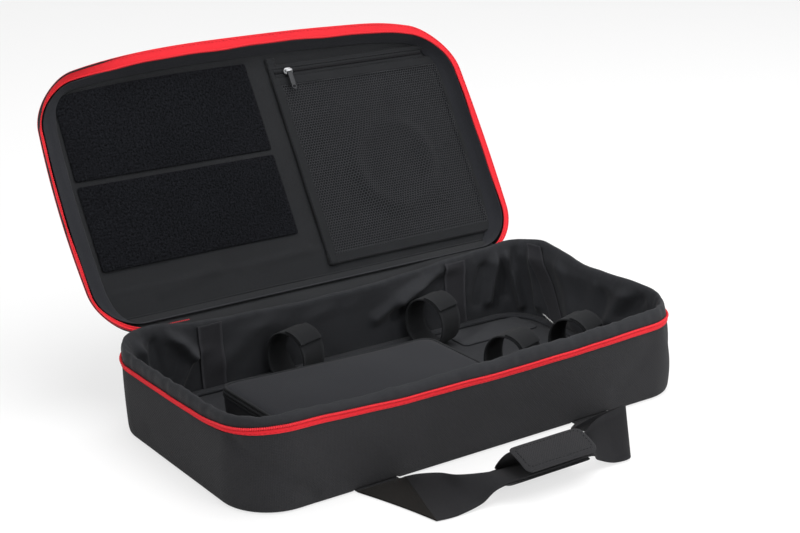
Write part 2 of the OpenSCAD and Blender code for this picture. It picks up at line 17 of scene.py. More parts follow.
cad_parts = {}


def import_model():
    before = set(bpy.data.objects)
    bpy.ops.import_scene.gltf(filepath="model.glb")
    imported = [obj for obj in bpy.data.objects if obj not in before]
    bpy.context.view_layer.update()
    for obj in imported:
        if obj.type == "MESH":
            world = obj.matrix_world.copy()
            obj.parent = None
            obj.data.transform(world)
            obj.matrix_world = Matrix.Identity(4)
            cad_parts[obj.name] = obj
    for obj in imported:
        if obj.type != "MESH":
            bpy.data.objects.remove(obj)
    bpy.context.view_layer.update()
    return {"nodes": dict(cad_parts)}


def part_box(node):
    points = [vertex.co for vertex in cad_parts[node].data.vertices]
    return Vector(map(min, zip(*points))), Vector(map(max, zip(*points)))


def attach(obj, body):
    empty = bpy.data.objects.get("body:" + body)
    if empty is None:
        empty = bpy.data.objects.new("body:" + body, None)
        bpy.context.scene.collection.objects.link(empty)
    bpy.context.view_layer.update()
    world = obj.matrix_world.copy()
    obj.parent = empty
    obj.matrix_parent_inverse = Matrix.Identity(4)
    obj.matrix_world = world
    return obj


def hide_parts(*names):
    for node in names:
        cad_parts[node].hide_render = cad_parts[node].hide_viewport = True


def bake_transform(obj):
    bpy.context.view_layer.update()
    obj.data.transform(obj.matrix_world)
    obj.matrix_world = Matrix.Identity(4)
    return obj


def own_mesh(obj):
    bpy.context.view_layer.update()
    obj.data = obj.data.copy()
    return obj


Array = np.ndarray
Pair = Tuple[float, float]
Triple = Tuple[float, float, float]
Table = Tuple[Pair, ...]
Waves = Sequence[Tuple[int, float, float]]
MM = 0.001
TAU = 2.0 * math.pi
WHITE = (1.0, 1.0, 1.0, 1.0)
LOG = logging.getLogger("carry_case")


# Colours and shader nodes


def linear(code: str, gain: float = 1.0) -> Tuple[float, float, float, float]:
    """Turns an sRGB hex code to a linear colour.

    Args:
        code: Six hex digits.
        gain: Factor on the linear values.

    Returns:
        Red, green, blue and alpha.
    """
    parts = np.array([int(code[i : i + 2], 16) for i in (0, 2, 4)]) / 255.0
    values = np.where(parts <= 0.04045, parts / 12.92, ((parts + 0.055) / 1.055) ** 2.4) * gain
    return (*(float(v) for v in np.clip(values, 0.0, 1.0)), 1.0)


def feed(tree: bpy.types.NodeTree, node: bpy.types.Node, inputs: dict, links: dict) -> None:
    """Sets values and links of a node's inputs.

    Args:
        tree: Node tree of the node.
        node: The node.
        inputs: Values by input socket.
        links: Output sockets by the input socket that they feed.
    """
    for key, value in inputs.items():
        node.inputs[key].default_value = value
    for key, source in links.items():
        tree.links.new(source, node.inputs[key])


def add_node(
    tree: bpy.types.NodeTree,
    kind: str,
    inputs: Optional[dict] = None,
    links: Optional[dict] = None,
    **settings: object,
) -> bpy.types.Node:
    """Adds one shader node.

    Args:
        tree: Node tree to add to.
        kind: Blender's name of the node's type.
        inputs: Values by input socket.
        links: Output sockets by the input socket that they feed.
        **settings: Properties of the node itself.

    Returns:
        The new node.
    """
    made = tree.nodes.new(kind)
    for key, value in settings.items():
        setattr(made, key, value)
    feed(tree, made, inputs or {}, links or {})
    return made


def new_material(name: str) -> Tuple[bpy.types.Material, bpy.types.NodeTree, bpy.types.Node]:
    """Makes a material with nodes.

    Args:
        name: Name of the material.

    Returns:
        The material, its node tree and its main shader.
    """
    made = bpy.data.materials.new(name)
    made.use_nodes = True
    return made, made.node_tree, made.node_tree.nodes["Principled BSDF"]


def seen_directly(tree: bpy.types.NodeTree) -> bpy.types.NodeSocket:
    """Tells apart what the camera sees directly or in a reflection.

    Args:
        tree: Node tree to add to.

    Returns:
        A socket that is 1 there and 0 elsewhere.
    """
    path = add_node(tree, "ShaderNodeLightPath")
    rays = {0: path.outputs["Is Camera Ray"], 1: path.outputs["Is Glossy Ray"]}
    return add_node(tree, "ShaderNodeMath", {}, rays, operation="MAXIMUM").outputs[0]


class Weave(Enum):
    """How the threads of a cloth lie."""

    PLAIN = "plain"
    RIBBED = "ribbed"
    PILE = "pile"


@dataclass(frozen=True)
class Cloth:
    """A cloth: threads on the piece's own UV map, a mottled colour and a soft sheen.

    Attributes:
        name: Material name.
        colour: sRGB hex code of the cloth in plain light.
        thread: Thread spacing in mm, drawn coarser than real where the render could not show it.
        weave: How the threads lie.
        relief: Height of the threads in mm.
        mottle: Share by which the colour wanders over a hand's breadth.
        contrast: Share by which the gaps between threads are darker.
        sheen: Weight of the soft rim light of loose fibres.
        rough: Roughness.
        gloss: Level of the plain reflection.
    """

    name: str
    colour: str
    thread: float = 1.4
    weave: Weave = Weave.PLAIN
    relief: float = 0.25
    mottle: float = 0.16
    contrast: float = 0.3
    sheen: float = 0.04
    rough: float = 0.86
    gloss: float = 0.1

    def threads(self, tree: bpy.types.NodeTree, uv: bpy.types.NodeSocket) -> bpy.types.NodeSocket:
        """Draws the height of the threads.

        Args:
            tree: Node tree to add to.
            uv: Coordinates in metres along the cloth.

        Returns:
            Socket with the height from 0 to 1.
        """
        pitch = self.thread * MM
        wave = math.pi / (10.0 * pitch)
        if self.weave is Weave.PILE:
            look = {"Scale": 1.0 / pitch, "Detail": 4.0, "Roughness": 0.7}
            fuzz = add_node(tree, "ShaderNodeTexNoise", look, {"Vector": uv})
            # Most of the noise lies between these two values, so they are spread over the whole range
            grain = add_node(tree, "ShaderNodeMapRange", {1: 0.36, 2: 0.64}, {0: fuzz.outputs["Fac"]})
            return grain.outputs[0]
        weft = add_node(tree, "ShaderNodeTexWave", {"Scale": wave}, {"Vector": uv}, bands_direction="X")
        if self.weave is Weave.RIBBED:
            return weft.outputs["Fac"]
        warp = add_node(tree, "ShaderNodeTexWave", {"Scale": wave}, {"Vector": uv}, bands_direction="Y")
        over = add_node(tree, "ShaderNodeTexChecker", {"Scale": 1.0 / pitch}, {"Vector": uv})
        mixed = add_node(tree, "ShaderNodeMix", {},
                         {0: over.outputs["Fac"], 2: weft.outputs["Fac"], 3: warp.outputs["Fac"]},
                         data_type="FLOAT")
        return mixed.outputs[0]

    def material(self) -> bpy.types.Material:
        """Makes the cloth's material at its first use.

        Returns:
            The cloth's material.
        """
        known = bpy.data.materials.get(self.name)
        if known:
            return known
        made, tree, shader = new_material(self.name)
        place = add_node(tree, "ShaderNodeTexCoord")
        height = self.threads(tree, place.outputs["UV"])
        blotch = add_node(tree, "ShaderNodeTexNoise", {"Scale": 22.0, "Detail": 5.0, "Roughness": 0.6},
                          {"Vector": place.outputs["Object"]})
        grit = add_node(tree, "ShaderNodeTexNoise", {"Scale": 420.0, "Detail": 2.0},
                        {"Vector": place.outputs["Object"]})
        wander = add_node(tree, "ShaderNodeMix", {0: 0.45},
                          {2: blotch.outputs["Fac"], 3: grit.outputs["Fac"]}, data_type="FLOAT")
        dark, pale = (linear(self.colour, 1.0 + k * self.mottle) for k in (-2.0, 2.0))
        tone = add_node(tree, "ShaderNodeMix", {6: dark, 7: pale}, {0: wander.outputs[0]}, data_type="RGBA")
        shade = add_node(tree, "ShaderNodeMapRange", {3: 1.0 - self.contrast, 4: 1.0 + 0.5 * self.contrast},
                         {0: height})
        colour = add_node(tree, "ShaderNodeMix", {0: 1.0},
                          {6: tone.outputs[2], 7: shade.outputs[0]}, data_type="RGBA", blend_type="MULTIPLY")
        depth = {"Strength": 0.8, "Distance": self.relief * MM}
        bump = add_node(tree, "ShaderNodeBump", depth, {"Height": height})
        feed(tree, shader, {"Roughness": self.rough, "Sheen Weight": self.sheen, "Sheen Roughness": 0.55,
                            "Specular IOR Level": self.gloss},
             {"Base Color": colour.outputs[2], "Normal": bump.outputs["Normal"]})
        return made


@dataclass(frozen=True)
class Hard:
    """A hard finish such as nickel plate, painted zinc or a nylon coil.

    Attributes:
        name: Material name.
        colour: sRGB hex code.
        metal: Metallic share.
        rough: Roughness.
        grain: Size in mm of the fine unevenness.
        relief: Depth of that unevenness in mm.
        gloss: Level of the plain reflection.
    """

    name: str
    colour: str
    metal: float = 0.0
    rough: float = 0.4
    grain: float = 0.8
    relief: float = 0.02
    gloss: float = 0.5

    def material(self) -> bpy.types.Material:
        """Makes the finish's material at its first use.

        Returns:
            The finish's material.
        """
        known = bpy.data.materials.get(self.name)
        if known:
            return known
        made, tree, shader = new_material(self.name)
        place = add_node(tree, "ShaderNodeTexCoord")
        grain = add_node(tree, "ShaderNodeTexNoise", {"Scale": 1.0 / (self.grain * MM), "Detail": 3.0},
                         {"Vector": place.outputs["Object"]})
        tone = add_node(tree, "ShaderNodeMix", {6: linear(self.colour, 0.85), 7: linear(self.colour, 1.12)},
                        {0: grain.outputs["Fac"]}, data_type="RGBA")
        dull = add_node(tree, "ShaderNodeMapRange", {3: 0.8 * self.rough, 4: 1.2 * self.rough},
                        {0: grain.outputs["Fac"]})
        bump = add_node(tree, "ShaderNodeBump", {"Strength": 0.5, "Distance": self.relief * MM},
                        {"Height": grain.outputs["Fac"]})
        feed(tree, shader, {"Metallic": self.metal, "Specular IOR Level": self.gloss},
             {"Base Color": tone.outputs[2], "Roughness": dull.outputs[0], "Normal": bump.outputs["Normal"]})
        return made


class Finishes:
    """The finishes of the case, named for what each one is."""

    # Coated polyester, close plain weave: dark grey-black with a dull, even face
    outer = Cloth("coated_polyester", "2b2b2d", 1.5)
    # Light nylon lining, thin and limp, a little shinier along its folds
    lining = Cloth("nylon_lining", "252629", 1.2, relief=0.15, rough=0.7, gloss=0.12)
    # The same nylon over the lid's inner face, in a darker copy: painted shade
    lid_lining = Cloth("shaded_nylon_lining", "212224", 1.2, relief=0.15)
    # The same nylon turned round the lid's foam, in a paler copy than the lid's lining: painted light against
    # the shade on this downward-facing side
    lid_side = Cloth("brightened_nylon_lining", "25262a", 1.2, relief=0.15)
    # Brushed padding cloth on the organiser
    organiser = Cloth("padding_cloth", "212226", 1.3, relief=0.2, sheen=0.05)
    # Smooth liner card covered in grey cloth
    insert = Cloth("grey_liner_cloth", "2e2f32", 1.3)
    # Loop pile: a dense dark fuzz
    pile = Cloth("dense_loop_pile", "17181b", 2.4, Weave.PILE, relief=0.6, mottle=0.2, contrast=0.75,
                 sheen=0.02, gloss=0.0)
    # Polyester webbing with fine cross ribs
    webbing = Cloth("ribbed_webbing", "222224", 1.0, Weave.RIBBED, relief=0.2, contrast=0.25)
    # A darker, brownish copy of that webbing: painted shade on the part before the fold, which lies in the
    # shadow of the standing strap
    shaded_webbing = Cloth("painted_shade_webbing", "141210", 1.0, Weave.RIBBED, relief=0.2, contrast=0.25)
    # Soft loop-faced strap of the four loops, darker than the handle
    strap = Cloth("soft_loop_strap", "18191b", 1.0, Weave.RIBBED, relief=0.2, contrast=0.25)
    # The tape of the wall strips
    strip = Cloth("wall_tape", "262629", 1.0, Weave.RIBBED, relief=0.15, contrast=0.2)
    # Warp-knit net, plain yarn
    net = Cloth("knitted_net", "3a3b3e", 0.9, relief=0.05, contrast=0.2)
    # Bound edges in narrow grosgrain
    binding = Cloth("grosgrain_binding", "1f2022", 1.0, Weave.RIBBED, relief=0.15, contrast=0.2)
    # Red zip tape, woven in fine herringbone
    red_tape = Cloth("woven_red_tape", "d92a33", 1.1, Weave.RIBBED, relief=0.15, contrast=0.15, mottle=0.06)
    # Moulded red nylon coil, satin
    red_coil = Hard("red_nylon_coil", "d62a33", 0.0, 0.55, gloss=0.2)
    # Red sewing thread on the zip tapes
    red_thread = Hard("red_thread", "a81e27", 0.0, 0.7, grain=0.5, gloss=0.1)
    # Black nylon coil of the pocket zip
    black_coil = Hard("black_nylon_coil", "141416", 0.0, 0.6, gloss=0.08)
    # Black sewing thread
    thread = Hard("black_thread", "161618", 0.0, 0.8, grain=0.5, gloss=0.08)
    # Nickel-plated zinc casting
    nickel = Hard("nickel_plate", "929395", 1.0, 0.32)
    # Black painted zinc casting
    puller = Hard("painted_zinc", "232427", 0.4, 0.38)
    # Satin label tape, blank
    label = Cloth("label_tape", "e8e8e6", 0.7, relief=0.05, contrast=0.08, mottle=0.03)


# Shapes


def wander(s: Array, length: float, table: Waves) -> Array:
    """Sums sine waves that close on themselves round a ring.

    Args:
        s: Distance along the ring.
        length: Length of the ring.
        table: Whole cycles, amplitude and phase of each wave.

    Returns:
        The sum at each distance.
    """
    return sum(size * np.sin(TAU * cycles * s / length + phase) for cycles, size, phase in table)


def ridge(x: Array, y: Array, start: Pair, end: Pair, height: float, width: float) -> Array:
    """A soft fold along a line: its height falls off as a bell with the distance from the line.

    Args:
        x: First coordinate.
        y: Second coordinate.
        start: One end of the fold.
        end: The other end of the fold.
        height: Height of the fold.
        width: Distance at which the fold has sunk to about a third.

    Returns:
        Height at each point.
    """
    ax, ay = start
    bx, by = end[0] - ax, end[1] - ay
    along = np.clip(((x - ax) * bx + (y - ay) * by) / (bx * bx + by * by), 0.0, 1.0)
    off = np.hypot(x - ax - along * bx, y - ay - along * by)
    return height * np.exp(-((off / width) ** 2))


def smooth(points: Array, steps: int) -> Array:
    """Passes a smooth curve through points, each stretch a cubic with its neighbours' slopes.

    Args:
        points: Points to pass through, along the first axis.
        steps: Stretches between two points.

    Returns:
        Points along the curve.
    """
    p = np.asarray(points, float)
    n = len(p) - 1
    at = np.linspace(0.0, n, n * steps + 1)
    i = np.minimum(at.astype(int), n - 1)
    t = (at - i).reshape((-1,) + (1,) * (p.ndim - 1))
    a, b, c, d = p[np.maximum(i - 1, 0)], p[i], p[i + 1], p[np.minimum(i + 2, n)]
    return 0.5 * (2 * b + (c - a) * t + (2 * a - 5 * b + 4 * c - d) * t**2 + (3 * b - a - 3 * c + d) * t**3)


def ease(x: Array, start: float, end: float) -> Array:
    """Rises smoothly from 0 at the start to 1 at the end, as 3t^2 - 2t^3 of the share t of the way."""
    t = np.clip((x - start) / (end - start), 0.0, 1.0)
    return t * t * (3.0 - 2.0 * t)


@dataclass(frozen=True)
class RoundedRectangle:
    """A rectangle with round corners in plan, walked from the middle of its rear side to the left.

    Attributes:
        width: Size along X.
        depth: Size along Y.
        radius: Corner radius.
        centre: Middle of the rectangle.
    """

    width: float
    depth: float
    radius: float
    centre: Pair = (0.0, 0.0)

    @property
    def length(self) -> float:
        """Length of the outline."""
        return 2.0 * (self.width + self.depth) - (8.0 - TAU) * self.radius

    def points(self, s: Array, inset: Array, z: Array) -> Array:
        """Places points by distance along the outline, distance inside it and height.

        The centre of curvature slides along the straight sides and the heading turns in the corners,
        so both are straight-line functions of the distance.

        Args:
            s: Distance along the outline, one value for each row.
            inset: Distance inside the outline, by row and column or by column.
            z: Height, by row and column or by column.

        Returns:
            Points by row and column.
        """
        a, b = self.width / 2.0 - self.radius, self.depth / 2.0 - self.radius
        q = math.pi * self.radius / 2.0
        knots = np.cumsum([0.0, a, q, 2 * b, q, 2 * a, q, 2 * b, q, a])
        s = np.mod(s, knots[-1])
        cx = np.interp(s, knots, [0, -a, -a, -a, -a, a, a, a, a, 0])[:, None]
        cy = np.interp(s, knots, [b, b, b, -b, -b, -b, -b, b, b, b])[:, None]
        turn = np.interp(s, knots, [1, 1, 2, 2, 3, 3, 4, 4, 5, 5])[:, None] * (math.pi / 2.0)
        reach = self.radius - np.broadcast_to(inset, (len(s), np.shape(inset)[-1]))
        x = self.centre[0] + cx + reach * np.cos(turn)
        y = self.centre[1] + cy + reach * np.sin(turn)
        return np.stack([x, y, np.broadcast_to(z, x.shape)], axis=-1)


def make_object(
    name: str, points: Array, faces: Sequence[Array], uv: Optional[Array] = None, merge: float = 0.0
) -> bpy.types.Object:
    """Puts points and faces into a new object, with its faces turned outwards.

    Args:
        name: Object name.
        points: Vertices in mm, one row each.
        faces: Arrays of faces, each with one row of vertex numbers for each face.
        uv: Coordinates in metres for each corner of each face, in the faces' order.
        merge: Distance in mm under which vertices are joined.

    Returns:
        The object, linked to the scene.
    """
    mesh = bpy.data.meshes.new(name)
    loops = np.concatenate([f.ravel() for f in faces]).astype(np.int32)
    sizes = np.concatenate([np.full(len(f), f.shape[1], np.int32) for f in faces])
    mesh.vertices.add(len(points))
    mesh.vertices.foreach_set("co", (np.asarray(points, float) * MM).astype(np.float32).ravel())
    mesh.loops.add(len(loops))
    mesh.loops.foreach_set("vertex_index", loops)
    mesh.polygons.add(len(sizes))
    mesh.polygons.foreach_set("loop_start", np.concatenate([[0], np.cumsum(sizes)[:-1]]).astype(np.int32))
    mesh.polygons.foreach_set("use_smooth", np.ones(len(sizes), bool))
    layer = mesh.uv_layers.new(name="UVMap")
    if uv is not None:
        layer.data.foreach_set("uv", uv.astype(np.float32).ravel())
    mesh.update(calc_edges=True)
    form = bmesh.new()
    form.from_mesh(mesh)
    if merge:
        bmesh.ops.remove_doubles(form, verts=form.verts, dist=merge * MM)
    bmesh.ops.recalc_face_normals(form, faces=form.faces)
    form.to_mesh(mesh)
    form.free()
    made = bpy.data.objects.new(name, mesh)
    bpy.context.scene.collection.objects.link(made)
    return made


def make_grid(
    name: str, points: Array, wrap: Tuple[bool, bool] = (False, True), caps: bool = False
) -> bpy.types.Object:
    """Makes a surface from a grid of points, with a UV map in metres along its rows and columns.

    Args:
        name: Object name.
        points: Grid of points in mm, by row and column.
        wrap: Whether the last row joins the first, and the last column the first.
        caps: Whether the first and the last row are filled in.

    Returns:
        The object.
    """
    n, m = points.shape[:2]
    ends = [np.concatenate([points, points[:1]]) if wrap[0] else points]
    ends.append(np.concatenate([points, points[:, :1]], axis=1) if wrap[1] else points)
    u = np.concatenate([[0], np.cumsum(np.linalg.norm(np.diff(ends[0], axis=0), axis=2).mean(axis=1))]) * MM
    v = np.concatenate([[0], np.cumsum(np.linalg.norm(np.diff(ends[1], axis=1), axis=2).mean(axis=0))]) * MM
    i, j = np.meshgrid(np.arange(n if wrap[0] else n - 1), np.arange(m if wrap[1] else m - 1), indexing="ij")
    i, j = i.ravel(), j.ravel()
    rows = np.stack([i, i + 1, i + 1, i], axis=1)
    columns = np.stack([j, j, j + 1, j + 1], axis=1)
    faces = [(rows % n) * m + columns % m]
    uv = [np.stack([u[rows], v[columns]], axis=-1).reshape(-1, 2)]
    if caps:
        faces.append(np.stack([np.arange(m), (n - 1) * m + np.arange(m)[::-1]]))
        uv.append(np.tile(np.stack([np.zeros(m), v[:m]], axis=-1), (2, 1)))
    return make_object(name, points.reshape(-1, 3), faces, np.concatenate(uv))


def grid_of(x: Array, y: Array, z: Array) -> Array:
    """Joins three coordinates, each spread over the rows and columns that it lacks, to a grid of points."""
    return np.stack(np.broadcast_arrays(x, y, z), axis=-1)


def make_ring(name: str, points: Array) -> bpy.types.Object:
    """Makes a closed ring from a grid of points whose rows are its sections."""
    return make_grid(name, points, (True, True))


def make_tube(name: str, points: Array) -> bpy.types.Object:
    """Makes a closed tube from a grid of points whose rows are its sections, with both ends filled in."""
    return make_grid(name, points, (False, True), caps=True)


def thicken(piece: bpy.types.Object, thick: float) -> None:
    """Gives a sheet its thickness, half on each side.

    Args:
        piece: The sheet.
        thick: Thickness in mm.
    """
    wall = piece.modifiers.new("thickness", "SOLIDIFY")
    wall.thickness = thick * MM
    wall.offset = 0.0


def band(points: Sequence[Pair], thick: float, steps: int = 6) -> Tuple[Array, Array]:
    """Turns a line of inset and height to a closed band of a thickness.

    Args:
        points: Inset and height along the line.
        thick: Thickness, laid to the right of the line's direction of travel.
        steps: Stretches between two points.

    Returns:
        Inset and height round the band.
    """
    line = smooth(points, steps)
    way = np.gradient(line, axis=0)
    side = np.stack([way[:, 1], -way[:, 0]], axis=1)
    side /= np.linalg.norm(side, axis=1)[:, None]
    both = np.concatenate([line, (line + side * thick)[::-1]])
    return both[:, 0], both[:, 1]


def loop_profile(across: float, up: float, count: int, power: float = 2.0) -> Tuple[Array, Array]:
    """Works out a closed oval, |x/across|^power + |y/up|^power = 1.

    Args:
        across: Half the width.
        up: Half the height.
        count: Number of points.
        power: 2 for an ellipse, more for flatter sides.

    Returns:
        The points' two coordinates.
    """
    turn = np.arange(count) * TAU / count
    x, y = np.cos(turn), np.sin(turn)
    return (across * np.sign(x) * np.abs(x) ** (2 / power), up * np.sign(y) * np.abs(y) ** (2 / power))


def coil_section(s: Array, pitch: float, radius: float) -> Tuple[Array, Array, Array]:
    """Works out a zip coil: a bead whose radius swells once for each turn of the coil.

    Args:
        s: Distances along the outline.
        pitch: Spacing of the turns.
        radius: Middle radius of the bead.

    Returns:
        The two coordinates round the bead for a radius of 1, and the radius at each distance.
    """
    across, up = loop_profile(1.0, 1.0, 8)
    return across, up, radius * (1.0 - 0.28 * np.cos(TAU * s / pitch))[:, None]


def make_ribbon(name: str, low: Array, high: Array, thick: float, rims: int = 3) -> bpy.types.Object:
    """Makes a flat strap between two edges, with rounded selvedges.

    The section is a flat oval laid from one edge to the other, square to both the edge line and the way.

    Args:
        name: Object name.
        low: One edge, point by point.
        high: The other edge, point by point.
        thick: Thickness.
        rims: Half the number of points round one selvedge.

    Returns:
        The object.
    """
    middle = (low + high) / 2.0
    way = np.gradient(middle, axis=0)
    normal = np.cross(way, high - low)
    normal /= np.linalg.norm(normal, axis=1)[:, None]
    span = np.linalg.norm(high - low, axis=1).mean()
    edge = np.linspace(-90.0, 90.0, 2 * rims + 1) * math.pi / 180.0
    across = np.linspace(-0.5 + thick / (2 * span), 0.5 - thick / (2 * span), 9)
    share = np.concatenate([across, across[-1] + np.cos(edge) * thick / (2 * span),
                            across[::-1], across[0] - np.cos(edge) * thick / (2 * span)])
    flat = np.ones(len(across))
    lift = np.concatenate([-flat, np.sin(edge), flat, -np.sin(edge)]) * thick / 2.0
    points = middle[:, None] + share[None, :, None] * (high - low)[:, None]
    return make_tube(name, points + lift[None, :, None] * normal[:, None])


def make_pad(
    name: str,
    size: Triple,
    place: Callable[[Array], Array],
    radius: float = 8.0,
    squareness: float = 10.0,
    count: Tuple[int, int] = (64, 48),
    relief: Optional[Callable[[Array, Array], Array]] = None,
) -> bpy.types.Object:
    """Makes a stuffed panel: two faces that meet in a seam all round, fullest in the middle.

    The half thickness is the product of (1 - |u|^p)^(1/2) and (1 - |v|^p)^(1/2), u and v being the
    places across and along from -1 to 1.

    Args:
        name: Object name.
        size: Width, depth and thickness.
        place: Turns points in the panel's own frame to the model's frame.
        radius: Corner radius in plan.
        squareness: The power p: large gives flat faces and full edges.
        count: Points across and along.
        relief: Extra height of the upper face by place across and along in mm.

    Returns:
        The object.
    """
    w, d, t = size
    u0, v0 = (np.sin(np.linspace(-1.0, 1.0, k) * math.pi / 2.0) for k in count)
    u, v = np.meshgrid(u0, v0, indexing="ij")
    y = v * d / 2.0
    deep = np.maximum(np.abs(y) - (d / 2.0 - radius), 0.0)
    x = u * (w / 2.0 - radius + np.sqrt(np.maximum(radius**2 - deep**2, 0.0)))
    half = t / 2.0 * np.sqrt((1 - np.abs(u) ** squareness) * (1 - np.abs(v) ** squareness))
    top = half if relief is None else half + relief(x, y) * half * 2.0 / t
    n, m = count
    grid = np.arange(n * m).reshape(n, m)
    quads = np.stack([grid[:-1, :-1], grid[1:, :-1], grid[1:, 1:], grid[:-1, 1:]], axis=-1).reshape(-1, 4)
    flat = np.stack([x, y], axis=-1).reshape(-1, 2) * MM
    points = np.concatenate([np.stack([x, y, top], axis=-1).reshape(-1, 3),
                             np.stack([x, y, -half], axis=-1).reshape(-1, 3)])
    faces = np.concatenate([quads, quads[:, ::-1] + n * m])
    uv = np.concatenate([flat, flat])[faces].reshape(-1, 2)
    return make_object(name, place(points), [faces], uv, merge=0.02)


def make_sheet(
    name: str, shape: RoundedRectangle, height: Callable[[Array, Array], Array], thick: float,
    place: Callable[[Array], Array], count: Tuple[int, int] = (120, 70),
) -> bpy.types.Object:
    """Makes a sheet of cloth over a rounded rectangle, each row as wide as the outline is there.

    Args:
        name: Object name.
        shape: Plan of the sheet.
        height: Height by place in plan.
        thick: Thickness, added on both sides.
        place: Turns points to the model's frame.
        count: Points across and along.

    Returns:
        The object.
    """
    u, v = np.meshgrid(np.linspace(-1, 1, count[0]), np.linspace(-1, 1, count[1]), indexing="ij")
    y = v * shape.depth / 2.0
    deep = np.maximum(np.abs(y) - (shape.depth / 2.0 - shape.radius), 0.0)
    x = u * (shape.width / 2.0 - shape.radius + np.sqrt(np.maximum(shape.radius**2 - deep**2, 0.0)))
    x, y = x + shape.centre[0], y + shape.centre[1]
    flat = np.stack([x, y, height(x, y)], axis=-1).reshape(-1, 3)
    made = make_grid(name, place(flat).reshape(*count, 3), (False, False))
    thicken(made, thick)
    return made


def make_stitches(
    name: str, path: Array, normal: Array, long: float = 3.4, gap: float = 1.4, wide: float = 0.9
) -> bpy.types.Object:
    """Makes a row of stitches: each one a small eight-faced grain lying along a line.

    Args:
        name: Object name.
        path: Points along the line.
        normal: Direction out of the cloth, for each point or for all.
        long: Length of a stitch.
        gap: Space between two stitches.
        wide: Width of a stitch.

    Returns:
        The object.
    """
    steps = np.linalg.norm(np.diff(path, axis=0), axis=1)
    at = np.concatenate([[0], np.cumsum(steps)])
    here = np.arange((long + gap) / 2.0, at[-1] - long / 2.0, long + gap)
    pick = lambda values: np.stack([np.interp(here, at, values[:, k]) for k in range(3)], axis=1)
    middle = pick(path)
    way = pick(np.gradient(path, axis=0))
    out = pick(np.broadcast_to(normal, path.shape).astype(float))
    way /= np.linalg.norm(way, axis=1)[:, None]
    out /= np.linalg.norm(out, axis=1)[:, None]
    side = np.cross(way, out)
    corners = np.stack([middle + way * long / 2, middle + side * wide / 2,
                        middle - way * long / 2, middle - side * wide / 2,
                        middle + out * wide * 0.5, middle - out * wide * 0.4], axis=1)
    faces = np.array([[0, 1, 4], [1, 2, 4], [2, 3, 4], [3, 0, 4], [1, 0, 5], [2, 1, 5], [3, 2, 5], [0, 3, 5]])
    count = len(middle)
    every = (np.arange(count)[:, None, None] * 6 + faces[None]).reshape(-1, 3)
    return make_object(name, corners.reshape(-1, 3), [every])


def dress(
    piece: bpy.types.Object, finish: object, body: str, stands_for: Sequence[str] = ()
) -> bpy.types.Object:
    """Gives a piece its material and body, and hides the solids that it stands for.

    Args:
        piece: The piece.
        finish: Finish with a material method.
        body: Body that the piece rides on.
        stands_for: Names of the solids.

    Returns:
        The piece.
    """
    piece.data.materials.clear()
    piece.data.materials.append(finish.material())
    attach(piece, body)
    if stands_for:
        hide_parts(*stands_for)
    LOG.info("piece %s: %d faces on %s", piece.name, len(piece.data.polygons), body)
    return piece


def stay(points: Array) -> Array:
    """Returns points as they are: a piece that is worked out in the model's frame."""
    return points


# The case


@dataclass(frozen=True)
class Plan:
    """Sizes that the base and the lid share.

    Attributes:
        outline: Plan of the case at its zip.
        zip_z: Height of the zip line.
        wall_top: Top of the outer wall, where the zip tape starts.
        hinge_y: Place of the hinge line from front to rear.
        hinge_half: Half the length of the fabric hinge.
        lid_angle: Opening angle of the lid in degrees.
    """

    outline: RoundedRectangle = RoundedRectangle(560.0, 292.0, 54.0)
    zip_z: float = 86.0
    wall_top: float = 76.8
    hinge_y: float = 149.5
    hinge_half: float = 178.0
    lid_angle: float = 122.0

    def ring(self, count: int = 720) -> Array:
        """Returns evenly spaced distances round the whole outline."""
        return np.arange(count) * self.outline.length / count

    def zip_way(self, count: int = 640) -> Array:
        """Returns distances along the zip, from its left end round the front to its right end."""
        return np.linspace(self.hinge_half, self.outline.length - self.hinge_half, count)

    def hinge_way(self, count: int = 160) -> Array:
        """Returns distances along the fabric hinge, on both sides of the rear side's middle."""
        return np.linspace(-self.hinge_half, self.hinge_half, count)

    def open(self, points: Array) -> Array:
        """Turns points of the closed lid about the hinge line to the open lid.

        Args:
            points: Points of the closed lid.

        Returns:
            The same points on the open lid.
        """
        turn = math.radians(self.lid_angle)
        y, z = points[..., 1] - self.hinge_y, points[..., 2] - self.zip_z
        return np.stack([points[..., 0], self.hinge_y + y * math.cos(turn) + z * math.sin(turn),
                         self.zip_z - y * math.sin(turn) + z * math.cos(turn)], axis=-1)


@dataclass(frozen=True)
class Fold:
    """A fold in a cloth: its two ends in the cloth's own two coordinates, its depth and its width."""

    start: Pair
    end: Pair
    depth: float
    width: float

    def at(self, x: Array, y: Array) -> Array:
        """Returns the fold's depth by the cloth's two coordinates."""
        return ridge(x, y, self.start, self.end, self.depth, self.width)


